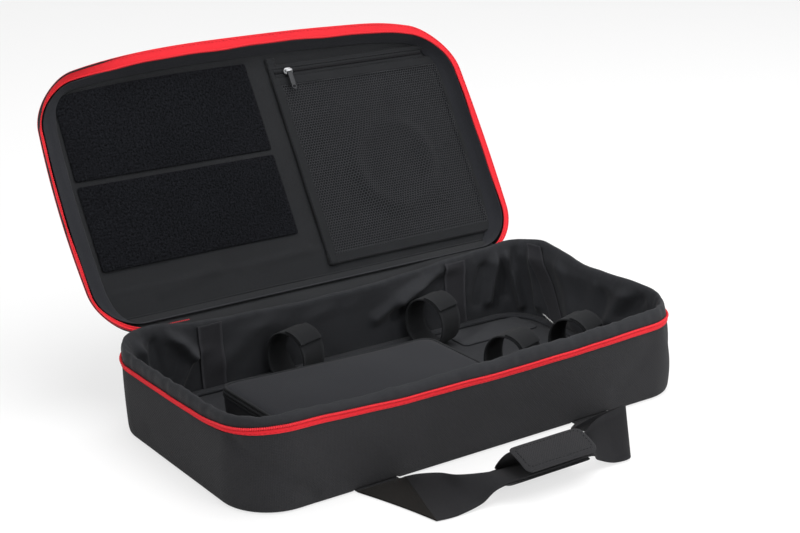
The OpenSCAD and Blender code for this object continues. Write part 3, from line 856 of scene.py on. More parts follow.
@dataclass
class Base:
    """The lower half of the case: wall, bottom, zip, soft rim, lining, mat and wall strips.

    The tables give a value by distance along the outline: how far the soft rim line stands out, how far it
    is lifted, how high the rim's crest is over it and how far inside the crest lies.

    Attributes:
        plan: Shared sizes.
        bulge: How far the padded wall stands out at half height.
        mat_z: Top of the floor mat.
        coil_pitch: Spacing of the coil's turns, drawn coarser than the real 1.3 mm so that it shows.
        stand: Table of how far the rim line stands out.
        lift: Table of how far the rim line is lifted.
        crest: Table of the crest's height over the rim line.
        crest_in: Table of the crest's distance inside the outline.
        folds: Folds of the lining.
        dents: Dents of the outer wall, written like folds.
        lining_foot: Height of the lining's lower edge.
        pressed: Share of the lining's height that is left when the lid shuts on it.
        rim_waves: Slow unevenness of the crest.
        zip_waves: Slow unevenness of the zip.
        tape_foot: Height of the zip tape's lower edge.
        zip_pressed: Share of the zip's height over that edge that is left when the lid shuts on it.
    """

    plan: Plan
    bulge: float = 1.4
    mat_z: float = 11.2
    coil_pitch: float = 2.2
    stand: Table = (
        (0, 0), (226, 1), (270, 4), (311, 4.5), (400, 4), (470, 2), (520, 0), (560, -1), (620, 2), (700, 6),
        (805, 8), (910, 6), (990, 2), (1050, -3), (1100, -6), (1200, -6), (1280, -4), (1340, 0), (1612, 0))
    lift: Table = (
        (0, 0), (226, -2), (270, -4), (311, -6), (400, -6), (470, -6), (510, -2), (545, 2), (570, 4.5),
        (600, 4.5), (640, 3), (700, 1), (900, 1), (1032, 1.5), (1075, 2), (1116, 1), (1300, 0), (1612, 0))
    crest: Table = (
        (0, 2.5), (120, 5), (180, 8), (205, 13), (226, 16.5), (250, 16.5), (270, 15.5), (311, 15), (400, 14),
        (495, 12), (540, 8), (600, 7), (700, 9), (780, 12), (900, 13), (1032, 13), (1075, 13), (1116, 18),
        (1135, 19), (1180, 17), (1220, 16), (1243, 19), (1260, 21), (1300, 25), (1340, 23), (1385, 18),
        (1440, 13), (1500, 9), (1560, 4), (1612, 2.5))
    crest_in: Table = (
        (0, 9), (226, 8), (262, 4), (311, 3.5), (400, 4.5), (495, 6), (560, 8), (1032, 8), (1116, 6),
        (1300, 6), (1385, 8), (1612, 9))
    folds: Tuple[Fold, ...] = (
        Fold((214, 94), (188, 60), 11, 7), Fold((188, 60), (206, 26), 9, 6),
        Fold((234, 84), (228, 38), -5, 8), Fold((264, 94), (250, 38), 10, 7),
        Fold((296, 90), (278, 26), 7, 8), Fold((340, 84), (318, 30), 4, 12),
        Fold((1462, 94), (1524, 61), 10, 8), Fold((1488, 88), (1558, 47), 6, 7),
        Fold((1470, 76), (1530, 44), -5, 9), Fold((1401, 76), (1407, 38), -6, 8),
        Fold((1382, 102), (1394, 36), 9, 6.5), Fold((1365, 92), (1338, 26), 9, 6.5),
        Fold((1352, 100), (1362, 40), -5, 7), Fold((1326, 104), (1308, 30), 8, 7),
        Fold((1270, 100), (1236, 30), 4, 12), Fold((1126, 90), (1156, 60), -6, 9),
        Fold((1146, 96), (1180, 40), 5, 10), Fold((1186, 76), (1190, 34), -4, 10),
        Fold((1150, 38), (1232, 36), 9, 26), Fold((90, 84), (150, 40), 4, 12),
        Fold((20, 80), (60, 36), 3, 14), Fold((400, 80), (420, 20), 3, 14))
    dents: Tuple[Fold, ...] = (
        Fold((512, 74), (596, 12), 2.6, 7), Fold((590, 70), (660, 30), 1.0, 12),
        Fold((1040, 74), (980, 24), 1.2, 12), Fold((420, 70), (350, 26), 1.2, 14),
        Fold((1062, 70), (1092, 20), 1.8, 10))
    rim_waves: Waves = ((11, 0.5, 2.4), (19, 0.4, 0.9), (31, 0.3, 0.3))
    zip_waves: Waves = ((7, 0.3, 0.2), (13, 0.2, 1.0), (29, 0.12, 2.2))
    lining_foot: float = 9.5
    pressed: float = 0.76
    tape_foot: float = 78.6
    zip_pressed: float = 0.8

    def build(self) -> None:
        """Builds and dresses every piece of the base."""
        self.build_wall()
        self.build_zip()
        self.build_hinge_stretch()
        self.build_lining()
        self.build_floor()
        self.build_strips()

    def give(self, piece: bpy.types.Object, foot: float, keep: float) -> None:
        """Gives a soft piece its own copy of its mesh.

        Args:
            piece: The piece.
            foot: Height that stays. Not used.
            keep: Share of the height over it that is left when the lid is shut. Not used.
        """
        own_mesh(piece)

    def table(self, rows: Table, s: Array) -> Array:
        """Looks up a table by distance along the outline, averaged over 12 mm to both sides.

        Args:
            rows: Distances along the outline with their values.
            s: Distances to look up.

        Returns:
            One value for each distance.
        """
        at, value = np.array(rows, float).T
        reach = np.linspace(-1.0, 1.0, 7) * 12.0
        wrapped = np.mod(s[:, None] + reach[None], self.plan.outline.length)
        return np.interp(wrapped, at, value).mean(axis=1)

    def ring(self, s: Array, inset: Array, z: Array) -> Array:
        """Places points on the soft outline: the upper edge stands out and lifts by its tables.

        Both displacements grow with the square of the height, from none at the floor to all at the zip.

        Args:
            s: Distance along the outline by row.
            inset: Distance inside the outline, by row and column or by column.
            z: Height, by row and column or by column.

        Returns:
            Points by row and column.
        """
        z = np.broadcast_to(z, (len(s), np.shape(z)[-1]))
        grown = np.clip(z / self.plan.zip_z, 0.0, 1.0) ** 2
        out, up = self.table(self.stand, s)[:, None], self.table(self.lift, s)[:, None]
        return self.plan.outline.points(s, inset - out * grown, z + up * grown)

    def build_wall(self) -> None:
        """The padded outer wall with its rolled lower edge, and the bottom panel."""
        plan, s = self.plan, self.plan.ring()
        line = [(15, 0.4), (6, 0.1), (1.8, 1.0), (0.4, 4), (0, 12), (0, 40), (0, 62), (0.2, 74), (0.6, 79)]
        inset, z = band(line, 1.6, 8)
        length = plan.outline.length
        swell = np.sin(np.clip(z / plan.wall_top, 0, 1) * math.pi)[None, :]
        uneven = wander(s, length, [(5, 0.35, 0.4), (9, 0.25, 2.0), (17, 0.15, 1.0)])
        puff = self.bulge * (1.0 + uneven)[:, None]
        grid_s, grid_z = np.meshgrid(s, z, indexing="ij")
        dents = sum(dent.at(grid_s, grid_z) for dent in self.dents)
        lift = self.anchor_lift(s)[:, None] * np.clip(1.0 - z / 5.0, 0, 1)[None, :]
        ring = self.ring(s, inset[None] - puff * swell + dents, z[None] + lift)
        wall = make_ring("outer_wall", ring)
        dress(wall, Finishes.outer, "base", ["base_outer_wall", "base_wall_foam"])
        under = RoundedRectangle(plan.outline.width - 22, plan.outline.depth - 22, plan.outline.radius - 11)
        bottom = make_sheet("bottom_panel", under, lambda x, y: 2.9 + 0.0 * x, 1.5, stay)
        dress(bottom, Finishes.outer, "base", ["base_bottom_panel", "base_bottom_board"])

    def anchor_lift(self, s: Array) -> Array:
        """Works out how far the rolled lower edge rises over the two handle ends at the front.

        Args:
            s: Distances along the outline.

        Returns:
            The rise at each distance.
        """
        x = self.plan.outline.points(s, np.zeros(1), np.zeros(1))[:, 0]
        front = x[:, 1] < -self.plan.outline.depth / 2.0 + 1.0
        near = np.clip((27.5 - np.abs(np.abs(x[:, 0]) - 138.0)) / 3.0, 0, 1)
        return 2.1 * near * front

    def build_zip(self) -> None:
        """The red tape and coil round the rim with their stitches."""
        plan = self.plan
        length = plan.outline.length
        way = plan.zip_way()
        lazy = wander(way, length, self.zip_waves)[:, None]
        thin = (ease(way, 560.0, 500.0) * 1.6)[:, None]
        foot = self.tape_foot
        inset, z = band([(0.5, foot), (-0.3, 79.3), (-0.6, 80.8), (-0.4, 82.6), (0.2, 83.4)], 1.0, 5)
        low = np.maximum(z[None], foot + thin)
        tape = make_tube("zip_tape_base", self.ring(way, inset[None] - 0.5 * lazy, low + lazy))
        dress(tape, Finishes.red_tape, "base", ["base_zip_tape"])
        fine = plan.zip_way(int(length / self.coil_pitch * 6))
        loose = wander(fine, length, self.zip_waves)[:, None]
        across, up, size = coil_section(fine, self.coil_pitch, 1.25)
        bead = self.ring(fine, -0.2 + across[None] * size, 85.0 + up[None] * size + loose)
        coil = make_tube("zip_coil_base", bead)
        dress(coil, Finishes.red_coil, "base", ["base_zip_coil"])
        row = self.ring(way, np.array([-0.7]) - 0.5 * lazy, np.array([80.4]) + lazy)[:, 0]
        out = row * np.array([1.0, 1.0, 0.0])
        stitches = make_stitches("zip_stitches_base", row, out, wide=0.6)
        dress(stitches, Finishes.red_thread, "base")
        for piece in (tape, coil, stitches):
            self.give(piece, foot, self.zip_pressed)

    def build_hinge_stretch(self) -> None:
        """The black stretch of the rim at the hinge, its cord and the two tabs over the zip's ends."""
        plan = self.plan
        inset, z = band([(0.6, 76.2), (-0.2, 77.4), (-0.4, 81), (-0.6, 84.6), (-1.2, 85.6)], 1.0, 5)
        strip = make_tube("hinge_strip_base", self.ring(plan.hinge_way(), inset, z))
        dress(strip, Finishes.outer, "base", ["base_hinge_strip"])
        across, up = loop_profile(2.1, 2.1, 12)
        x = np.linspace(-plan.hinge_half, plan.hinge_half, 120)
        line = grid_of(x[:, None], plan.hinge_y + across[None], plan.zip_z + up[None])
        cord = make_tube("hinge_cord", line)
        dress(cord, Finishes.outer, "base", ["hinge_welt"])
        inset, z = band([(0.0, 76.6), (-1.2, 77.4), (-1.5, 81), (-1.2, 84.4), (0.0, 85.2)], 0.9, 4)
        for side, name in ((1, "left"), (-1, "right")):
            at = side * (plan.hinge_half + np.linspace(0.0, 5.0, 8))
            tab = make_tube(f"zip_end_tab_{name}", self.ring(at, inset, z))
            dress(tab, Finishes.outer, "base", [f"zip_end_stop_{name}"])

    def rim_top(self, s: Array) -> Array:
        """Returns the height of the crest before the rim line's own lift, with a slow unevenness."""
        uneven = wander(s, self.plan.outline.length, self.rim_waves)
        return self.plan.zip_z + self.table(self.crest, s) + uneven

    def lining_inset(self, s: Array, z: Array) -> Array:
        """Returns how far the hung lining lies inside the outline: its plain profile and its folds.

        Args:
            s: Distance along the outline by row.
            z: Height by row and column.

        Returns:
            Inset by row and column.
        """
        length = self.plan.outline.length
        height, profile = [9.0, 20.0, 36.0, 60.0, 76.0, 90.0, 110.0], [11.5, 9.9, 9.4, 9.6, 11.0, 12.4, 12.8]
        plain = np.interp(z, height, profile)
        at = np.broadcast_to(s[:, None], z.shape)
        deep = sum(fold.at(at, z) for fold in self.folds)
        gathers = wander(at + 0.3 * z, length, [(19, 0.6, 0.3), (33, 0.5, 1.7), (54, 0.25, 0.8)])
        deep = deep + 0.9 * (1.0 + gathers)
        crest = self.rim_top(s)[:, None]
        hang = np.clip((crest - 3.0 - z) / 16.0, 0.0, 1.0) * np.clip((z - 9.0) / 10.0, 0.1, 1.0)
        return np.maximum(plain + deep * hang, 7.9)

    def build_lining(self) -> None:
        """The limp lining: one cloth from the zip's seam over the padded rim and down the wall to the mat."""
        plan, s = self.plan, self.plan.ring(720)
        length, foot = plan.outline.length, self.lining_foot
        top, inside = self.rim_top(s), self.table(self.crest_in, s)
        rise = top - plan.zip_z
        rows = [(2.4 + 0 * s, 81.0 + 0 * s), (1.2 + 0 * s, 85.6 + 0 * s),
                (0.5 * (1.2 + inside) - 1.6, 85.0 + 0.7 * rise), (inside - 1.6, top - 0.5),
                (inside + 1.4, top - 0.4)]
        crest = len(rows) - 1.5
        for share in np.linspace(0.0, 1.0, 25)[1:]:
            z = top - 1.5 - share * (top - 1.5 - foot)
            deep = self.lining_inset(s, z[:, None])[:, 0]
            turned = ease(np.array(share), -0.1, 0.22)
            rows.append((inside + 2.4 + (deep - inside - 2.4) * turned, z))
        steps = 2
        line = smooth(np.array([np.column_stack(k) for k in rows]), steps).transpose(1, 0, 2)
        pucker = wander(s, length, [(83, 0.3, 0.0), (127, 0.2, 1.4), (61, 0.34, 2.2)])[:, None]
        up = np.clip((line[..., 1] - 84.0) / 8.0, 0.0, 1.0)
        inset, z = line[..., 0] + pucker * up, line[..., 1] + 0.4 * pucker * up
        column = np.arange(line.shape[1]) / steps
        back = np.interp(column, [0, crest - 1.0, crest + 1.0, len(rows)], [1.0, 0.8, -0.8, -1.0])
        down = np.interp(column, [0, crest - 2.0, crest, crest + 2.0, len(rows)], [0.0, 0.3, 1.0, 0.3, 0.0])
        faces = ((inset, inset + back), (z, z - down))
        both = [np.concatenate([face, rear[:, ::-1]], axis=1) for face, rear in faces]
        cloth = make_ring("base_lining_cloth", self.ring(s, *both))
        solids = ["base_lining", "base_soft_rim", "soft_rim_runs"]
        dress(cloth, Finishes.lining, "base", solids)
        self.give(cloth, foot, self.pressed)

    def build_floor(self) -> None:
        """The floor mat with its raised border, and the pale insert."""
        plan, s = self.plan, self.plan.ring(480)
        across, up = loop_profile(5.6, 2.6, 16, 3.0)
        border = plan.outline.points(s, 15.6 + across, self.mat_z + 1.6 + up)
        dress(make_ring("mat_border", border), Finishes.lining, "base")
        inside = RoundedRectangle(plan.outline.width - 24, plan.outline.depth - 24, plan.outline.radius - 12)
        level = lambda x, y: self.mat_z - 0.9 + 0.3 * np.sin(x / 31.0) * np.sin(y / 27.0)
        floor = make_sheet("floor_mat_pad", inside, level, 1.6, stay)
        dress(floor, Finishes.lining, "base", ["floor_mat"])
        low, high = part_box("floor_insert")
        size = [(high[k] - low[k]) / MM for k in range(2)]
        middle = np.array([(low[0] + high[0]) / 2, (low[1] + high[1]) / 2, (low[2] + high[2]) / 2]) / MM
        pad = make_pad("floor_insert_pad", (size[0], size[1], 2.4), lambda p: p + middle, 6.0, 40.0)
        dress(pad, Finishes.insert, "base", ["floor_insert"])

    def build_strips(self) -> None:
        """The webbing strips down the lining, which follow its folds, and the label under the right one."""
        length = self.plan.outline.length
        # Where each strip's lower and upper end lies along the outline
        ends = {
            "rear_strip_left": (161.3, 165.0),
            "rear_strip_right": (length - 171.0, length - 165.0),
            "side_strip": (1266.0, 1316.0),
        }
        low_z, half = 13.5, 15.0
        share = np.linspace(0.0, 1.0, 40)
        for node, (foot, head) in ends.items():
            middle = foot + (head - foot) * share
            z = low_z + share * (self.rim_top(middle) - 4.0 - low_z)
            edges = []
            for at in (middle - half, middle + half):
                inset = self.lining_inset(at, z[:, None]) + 1.3
                edges.append(self.ring(at, inset, z[:, None])[:, 0])
            strip = make_ribbon(f"{node}_webbing", edges[0], edges[1], 1.4)
            dress(strip, Finishes.strip, "base", [node])
            self.give(strip, self.lining_foot, self.pressed)
        low, high = (np.array(c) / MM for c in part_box("care_label"))
        y = np.linspace(low[1] + 2, high[1] - 2, 12) - 10.0
        z = low[2] + 1.2 * np.sin((y - low[1]) / 7.0) + 0.14 * (y - low[1])
        x = low[0] - 8.0
        tag = make_ribbon("blank_label", np.stack([0 * y + x - 7.0, y, z + 7.6], axis=1),
                          np.stack([0 * y + x, y, z], axis=1), 0.4)
        dress(tag, Finishes.label, "base", ["care_label"])
        self.give(tag, self.lining_foot, self.pressed)


@dataclass
class Organiser:
    """The padded box on the floor mat with its piped edges and its padded flap.

    Attributes:
        wall: Wall thickness.
        piping: Radius of the piping.
        crown: Rise of the flap's middle.
        pull: How far the rear left corner is pulled to the left, to the rear and up.
        tuck: How far the rear right corner is tucked to the front.
    """

    wall: float = 6.0
    piping: float = 1.7
    crown: float = 4.5
    pull: Triple = (-4.0, 7.0, 2.0)
    tuck: float = 3.0

    def warp(self, points: Array) -> Array:
        """Pulls the soft box's two rear corners out of square, less and less towards the front.

        Args:
            points: Points of the square box.

        Returns:
            The same points on the pulled box.
        """
        low, high = (np.array(c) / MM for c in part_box("organiser_box"))
        u = 2.0 * (points[..., 0] - low[0]) / (high[0] - low[0]) - 1.0
        v = np.clip((points[..., 1] - low[1]) / (high[1] - low[1]), 0.0, 1.1)
        w = np.clip((points[..., 2] - low[2]) / 40.0, 0.0, 1.0)
        left, right = ((np.clip(side, 0.0, 1.1) * v * w)[..., None] for side in (-u, u))
        return points + left * np.array(self.pull) - right * np.array([0.0, self.tuck, 0.0])

    def build(self) -> None:
        """Builds and dresses the box, its piping and the flap."""
        low, high = (np.array(c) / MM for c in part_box("organiser_box"))
        lid_low, lid_high = (np.array(c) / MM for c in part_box("organiser_flap"))
        middle = (float(low[0] + high[0]) / 2, float(low[1] + high[1]) / 2)
        shape = RoundedRectangle(float(high[0] - low[0]), float(high[1] - low[1]), 14.0, middle)
        s = np.arange(360) * shape.length / 360
        foot, top = low[2], float(high[2])
        line = [(1.0, foot + 0.2), (-0.6, foot + 8), (-1.2, (foot + top) / 2), (-0.4, top - 8),
                (0.4, top - 1)]
        inset, z = band(line, self.wall, 6)
        inset = np.minimum(inset, self.wall)
        dents = wander(s, shape.length, [(7, 0.3, 0.0), (15, 0.25, 1.0), (26, 0.15, 2.0)])[:, None]
        ring = shape.points(s, inset[None] + dents * np.exp(-inset[None]), z[None])
        box = make_ring("organiser_walls", self.warp(ring))
        dress(box, Finishes.organiser, "base", ["organiser_box"])
        inside = RoundedRectangle(shape.width - 8, shape.depth - 8, 10.0, middle)
        floor = make_sheet("organiser_floor", inside, lambda x, y: foot + 5.0 + 0.0 * x, 1.5, stay, (60, 40))
        dress(floor, Finishes.lining, "base")
        across, up = loop_profile(self.piping, self.piping, 10)
        for name, node, z0, body in (
            ("organiser_piping_cord", "organiser_piping", top - 1.6, "base"),
            ("organiser_flap_cord", "organiser_flap_piping", float(lid_low[2]) + 1.9, "organiser_flap"),
        ):
            cord = make_ring(name, self.warp(shape.points(s, across, z0 + up)))
            dress(cord, Finishes.binding, body, [node])
        edge = shape.points(s, 1.2 + across, float(lid_high[2]) - 1.6 + up)
        rim = make_ring("organiser_flap_edge", self.warp(edge))
        dress(rim, Finishes.binding, "organiser_flap")
        thick = float(lid_high[2] - lid_low[2])
        centre = np.array([*middle, float(lid_low[2]) + thick / 2])
        crown = lambda x, y: (self.crown * np.cos(x / shape.width * 2.6) * np.cos(y / shape.depth * 2.6)
                              + 0.35 * np.sin(x / 19.0 + y / 40.0) + 0.3 * np.sin(y / 14.0 - x / 55.0))
        flap = make_pad("organiser_flap_pad", (shape.width - 2, shape.depth - 2, thick - 0.6),
                        lambda p: self.warp(p + centre), 13.0, 26.0, (120, 80), crown)
        dress(flap, Finishes.organiser, "organiser_flap", ["organiser_flap"])


@dataclass
class StrapLoop:
    """One loop of doubled strap standing on the floor mat, with its overlapping end.

    Attributes:
        number: Which loop, from 1.
        lean: Sideways lean of the loop's top.
        thick: Thickness of the doubled strap.
        width: Width of the strap.
        deep: Depth of the loop, front to rear.
        turn: Turn of the loop about the upright, in degrees.
    """

    number: int
    lean: float = 2.0
    thick: float = 2.2
    width: float = 36.0
    deep: float = 55.0
    turn: float = 17.0

    def edges(self, angle: Array, grow: float, trim: float) -> List[Array]:
        """Returns both edges of a strap that follows the loop by angle.

        The loop is a superellipse: depth and height go with cos^p and sin^p of the angle, p = 2 / 2.15.

        Args:
            angle: Angles round the loop, from the rear over the top to the front.
            grow: How far outside the loop the strap lies.
            trim: How much narrower it is at each side.

        Returns:
            The left and the right edge.
        """
        low, high = (np.array(c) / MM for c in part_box(f"strap_loop_{self.number}"))
        centre, tall = (low + high) / 2.0, high[2] - low[2]
        shape, back, up = 2.0 / 2.15, np.cos(angle), np.sin(angle)
        v = (self.deep / 2 - self.thick / 2 + grow) * np.sign(back) * np.abs(back) ** shape
        z = centre[2] + (tall / 2 - self.thick / 2 + grow) * np.sign(up) * np.abs(up) ** shape
        tip = self.lean * (z - low[2]) / tall
        c, s = math.cos(math.radians(self.turn)), math.sin(math.radians(self.turn))
        sides = [tip + k * (self.width / 2 - trim) for k in (-1, 1)]
        return [np.stack([centre[0] + u * c - v * s, centre[1] + u * s + v * c, z], axis=1) for u in sides]

    def build(self) -> None:
        """Builds and dresses the loop and its overlapping end."""
        left, right = self.edges(np.linspace(-0.5 * math.pi, 1.5 * math.pi, 121), 0.0, 0.3)
        loop = make_ribbon(f"strap_{self.number}_webbing", left, right, self.thick)
        dress(loop, Finishes.strap, "base", [f"strap_loop_{self.number}"])
        left, right = self.edges(np.linspace(0.5 * math.pi, 0.785 * math.pi, 40), self.thick + 0.35, 0.6)
        tab = make_ribbon(f"strap_{self.number}_end", left, right, 2.0)
        dress(tab, Finishes.strap, f"strap_tab_{self.number}", [f"strap_tab_{self.number}"])


@dataclass
class Handle:
    """A loop of wide webbing between two sewn ends, as its two edges measured from its swing line.

    Attributes:
        half: Half the distance between the two ends' middles.
        width: Width of the webbing.
        thick: Thickness of the webbing.
        grip_half: Half the length of the grip wrap.
        grip_z: Height of the webbing's rear edge inside the grip wrap.
        grip_tilt: How much higher its front edge is there.
    """

    half: float = 138.0
    width: float = 50.0
    thick: float = 2.0
    grip_half: float = 45.0
    grip_z: float = 15.5
    grip_tilt: float = 3.0

    def edges(self) -> Tuple[Array, Array]:
        """Lays the webbing from its left fold to its right end.

        Returns:
            The lower and the upper edge.
        """
        inner, outer = self.half - self.width / 2, self.half + self.width / 2
        g, w, m = self.grip_half, self.grip_z, -self.thick / 2
        f = w + self.grip_tilt
        low = [(-outer + 26, -93, m), (-outer + 39, -95.5, m), (-outer + 53, -96, m + 0.3),
               (-outer + 77, -96, 3), (-g - 24, -97, 13), (-g, -101, f), (0, -101, f), (g, -101, f),
               (g + 13, -97, 9), (inner - 33, -97, 0), (inner - 11, -96, m + 0.2), (inner - 6, -72, m),
               (inner + 10, -40, m), (outer, 0, m)]
        high = [(-inner + 2, -6, 3), (-inner + 6, -22, 11), (-inner + 14, -45, 19),
                (-inner + 20, -67, 24), (-g - 23, -79, 24), (-g, -76, w + 4), (0, -76, w), (g, -76, w + 10),
                (g + 17, -79, 39), (inner - 38, -81, 46.5), (inner - 10, -84, 52), (inner - 22, -54, 33),
                (inner - 26, -24, 9), (inner, 0, m)]
        return smooth(low, 12), smooth(high, 12)

    def fold(self) -> Tuple[Array, Array]:
        """Lays the left end flat on the ground, from its seam to the fold that turns it.

        Returns:
            The lower and the upper edge.
        """
        inner, outer, m = self.half - self.width / 2, self.half + self.width / 2, -self.thick / 2
        low = [(-outer, 0, m), (-outer + 10, -30, m), (-outer + 19, -62, m), (-outer + 26, -93, m)]
        high = [(-inner, 0, m), (-inner + 0.7, -2, m + 1), (-inner + 1.4, -4, 1.5), (-inner + 2, -6, 3)]
        return smooth(low, 12), smooth(high, 12)

    def build_anchors(self, prefix: str, place: Callable[[Array], Array], ends: Pair, z: float, body: str,
                      node: str) -> None:
        """The two sewn ends of the webbing, flat on the case.

        Args:
            prefix: Start of the pieces' names.
            place: Turns points to the model's frame.
            ends: Front and rear end of the strips.
            z: Height of the strips' middle.
            body: Body that they ride on.
            node: Start of the names of the solids that they stand for.
        """
        y = np.linspace(*ends, 60)
        for side, name in ((-1, "left"), (1, "right")):
            x = [0 * y + side * self.half + k * self.width / 2 for k in (-1, 1)]
            edges = [place(np.stack([edge, y, 0 * y + z], axis=1)) for edge in x]
            strip = make_ribbon(f"{prefix}_{name}", edges[0], edges[1], 1.7)
            dress(strip, Finishes.webbing, body, [f"{node}_{name}"])


@dataclass
class CarryHandle(Handle):
    """The handle at the base's front edge with its padded grip wrap.

    Attributes:
        swing: Depth and height of the line that the handle swings on.
        ridge_at: Depth and height of the grip's ridge, from the swing line.
        foot: The same of the grip's rear lower edge.
        front: The same of the flap's lower edge.
        under_more: How much further the lower half of the wrap reaches to the left.
    """

    swing: Pair = (-148.5, 2.3)
    ridge_at: Pair = (-81.0, 38.0)
    foot: Pair = (-60.0, 12.0)
    front: Pair = (-112.5, 28.6)
    under_more: float = 16.0

    def laid(self, top: Pair, bottom: Pair, bow: float) -> Tuple[float, Callable[[Array], Array]]:
        """Works out how a flat panel lies between two lines along the handle.

        Args:
            top: Depth and height of the upper line, from the swing line.
            bottom: The same of the lower line.
            bow: How far the panel bulges to its upper side.

        Returns:
            The panel's depth, and a function that lays points of the flat panel.
        """
        a, b = np.array(top) + self.swing, np.array(bottom) + self.swing
        deep = float(np.linalg.norm(b - a))
        way = (b - a) / deep
        out = np.array([way[1], -way[0]]) * (1.0 if way[0] > 0 else -1.0) * -1.0

        def place(p: Array) -> Array:
            """Lays the panel between its two lines and bows it."""
            share = p[:, 1] / deep + 0.5
            lift = p[:, 2] + bow * (1.0 - (2 * share - 1.0) ** 2)
            yz = a + share[:, None] * (b - a) + lift[:, None] * out
            return np.column_stack([p[:, 0], yz])

        return deep, place

    def build(self) -> None:
        """Builds and dresses the sewn ends, the webbing and the grip wrap."""
        offset = np.array([0.0, *self.swing])
        low, high = self.edges()
        web = make_ribbon("carry_handle_webbing", low + offset, high + offset, self.thick)
        dress(web, Finishes.webbing, "carry_handle", ["carry_handle"])
        low, high = self.fold()
        back = make_ribbon("carry_handle_fold", low + offset, high + offset, self.thick)
        # Painted shade: the part before the fold takes the darker copy of the webbing
        dress(back, Finishes.shaded_webbing, "carry_handle")
        self.build_anchors("handle_end", stay, (-148.2, 51.0), 1.05, "base", "handle_anchor")
        long = 2 * self.grip_half
        deep, place = self.laid(self.ridge_at, self.foot, 1.5)
        rear = make_pad("grip_rear_pad", (long, deep, 3.8), place, 6.0, 8.0, (72, 40))
        dress(rear, Finishes.outer, "carry_handle", ["grip_pad"])
        deep, place = self.laid((-103.0, 16.2), self.foot, 0.0)
        shift = np.array([-self.under_more / 2.0, 0.0, 0.0])
        shape = (long + self.under_more, deep, 2.0)
        under = make_pad("grip_under_pad", shape, lambda p: place(p + shift), 6.0, 8.0, (72, 40))
        dress(under, Finishes.outer, "carry_handle")
        deep, place = self.laid((self.ridge_at[0] + 1.6, self.ridge_at[1] + 3.6), self.front, 1.8)
        flap = make_pad("grip_flap_pad", (long, deep, 3.6), place, 8.0, 8.0, (72, 40))
        dress(flap, Finishes.outer, "grip_flap", ["grip_flap"])
        self.build_stitches(long, deep, place)

    def build_stitches(self, long: float, deep: float, place: Callable[[Array], Array]) -> None:
        """The row of stitches round the grip flap, a little inside its edge.

        Args:
            long: Length of the flap.
            deep: Depth of the flap.
            place: Lays points of the flat flap.
        """
        edge = RoundedRectangle(long - 10.0, deep - 10.0, 5.0)
        row = edge.points(np.linspace(0.0, edge.length, 160), np.zeros(1), np.full(1, 1.75))[:, 0]
        out = place(row + np.array([0.0, 0.0, 1.0])) - place(row)
        stitches = make_stitches("grip_flap_stitches", place(row), out, 3.0, 1.2, 0.8)
        dress(stitches, Finishes.thread, "grip_flap")


@dataclass
class LidHandle(Handle):
    """The partner handle on the lid's outer face, hanging behind the open lid.

    Attributes:
        plan: Shared sizes.
        swing: Depth and height of the swing line at rest.
        seat: Height of the sewn ends on the closed lid.
    """

    plan: Plan = Plan()
    swing: Pair = (327.092, 313.217)
    seat: float = 113.4

    def build(self) -> None:
        """Builds and dresses the sewn ends and the hanging loop."""
        low, high = self.edges()
        hang = lambda p: np.column_stack([p[:, 0], self.swing[0] + p[:, 2], self.swing[1] + p[:, 1]])
        web = make_ribbon("lid_handle_webbing", hang(high), hang(low), self.thick)
        dress(web, Finishes.webbing, "lid_handle", ["lid_handle"])
        low, high = self.fold()
        back = make_ribbon("lid_handle_fold", hang(high), hang(low), self.thick)
        # Painted shade: the part before the fold takes the darker copy of the webbing
        dress(back, Finishes.shaded_webbing, "lid_handle")
        self.build_anchors("lid_handle_end", self.plan.open, (-137.0, 63.0), self.seat, "lid", "lid_anchor")


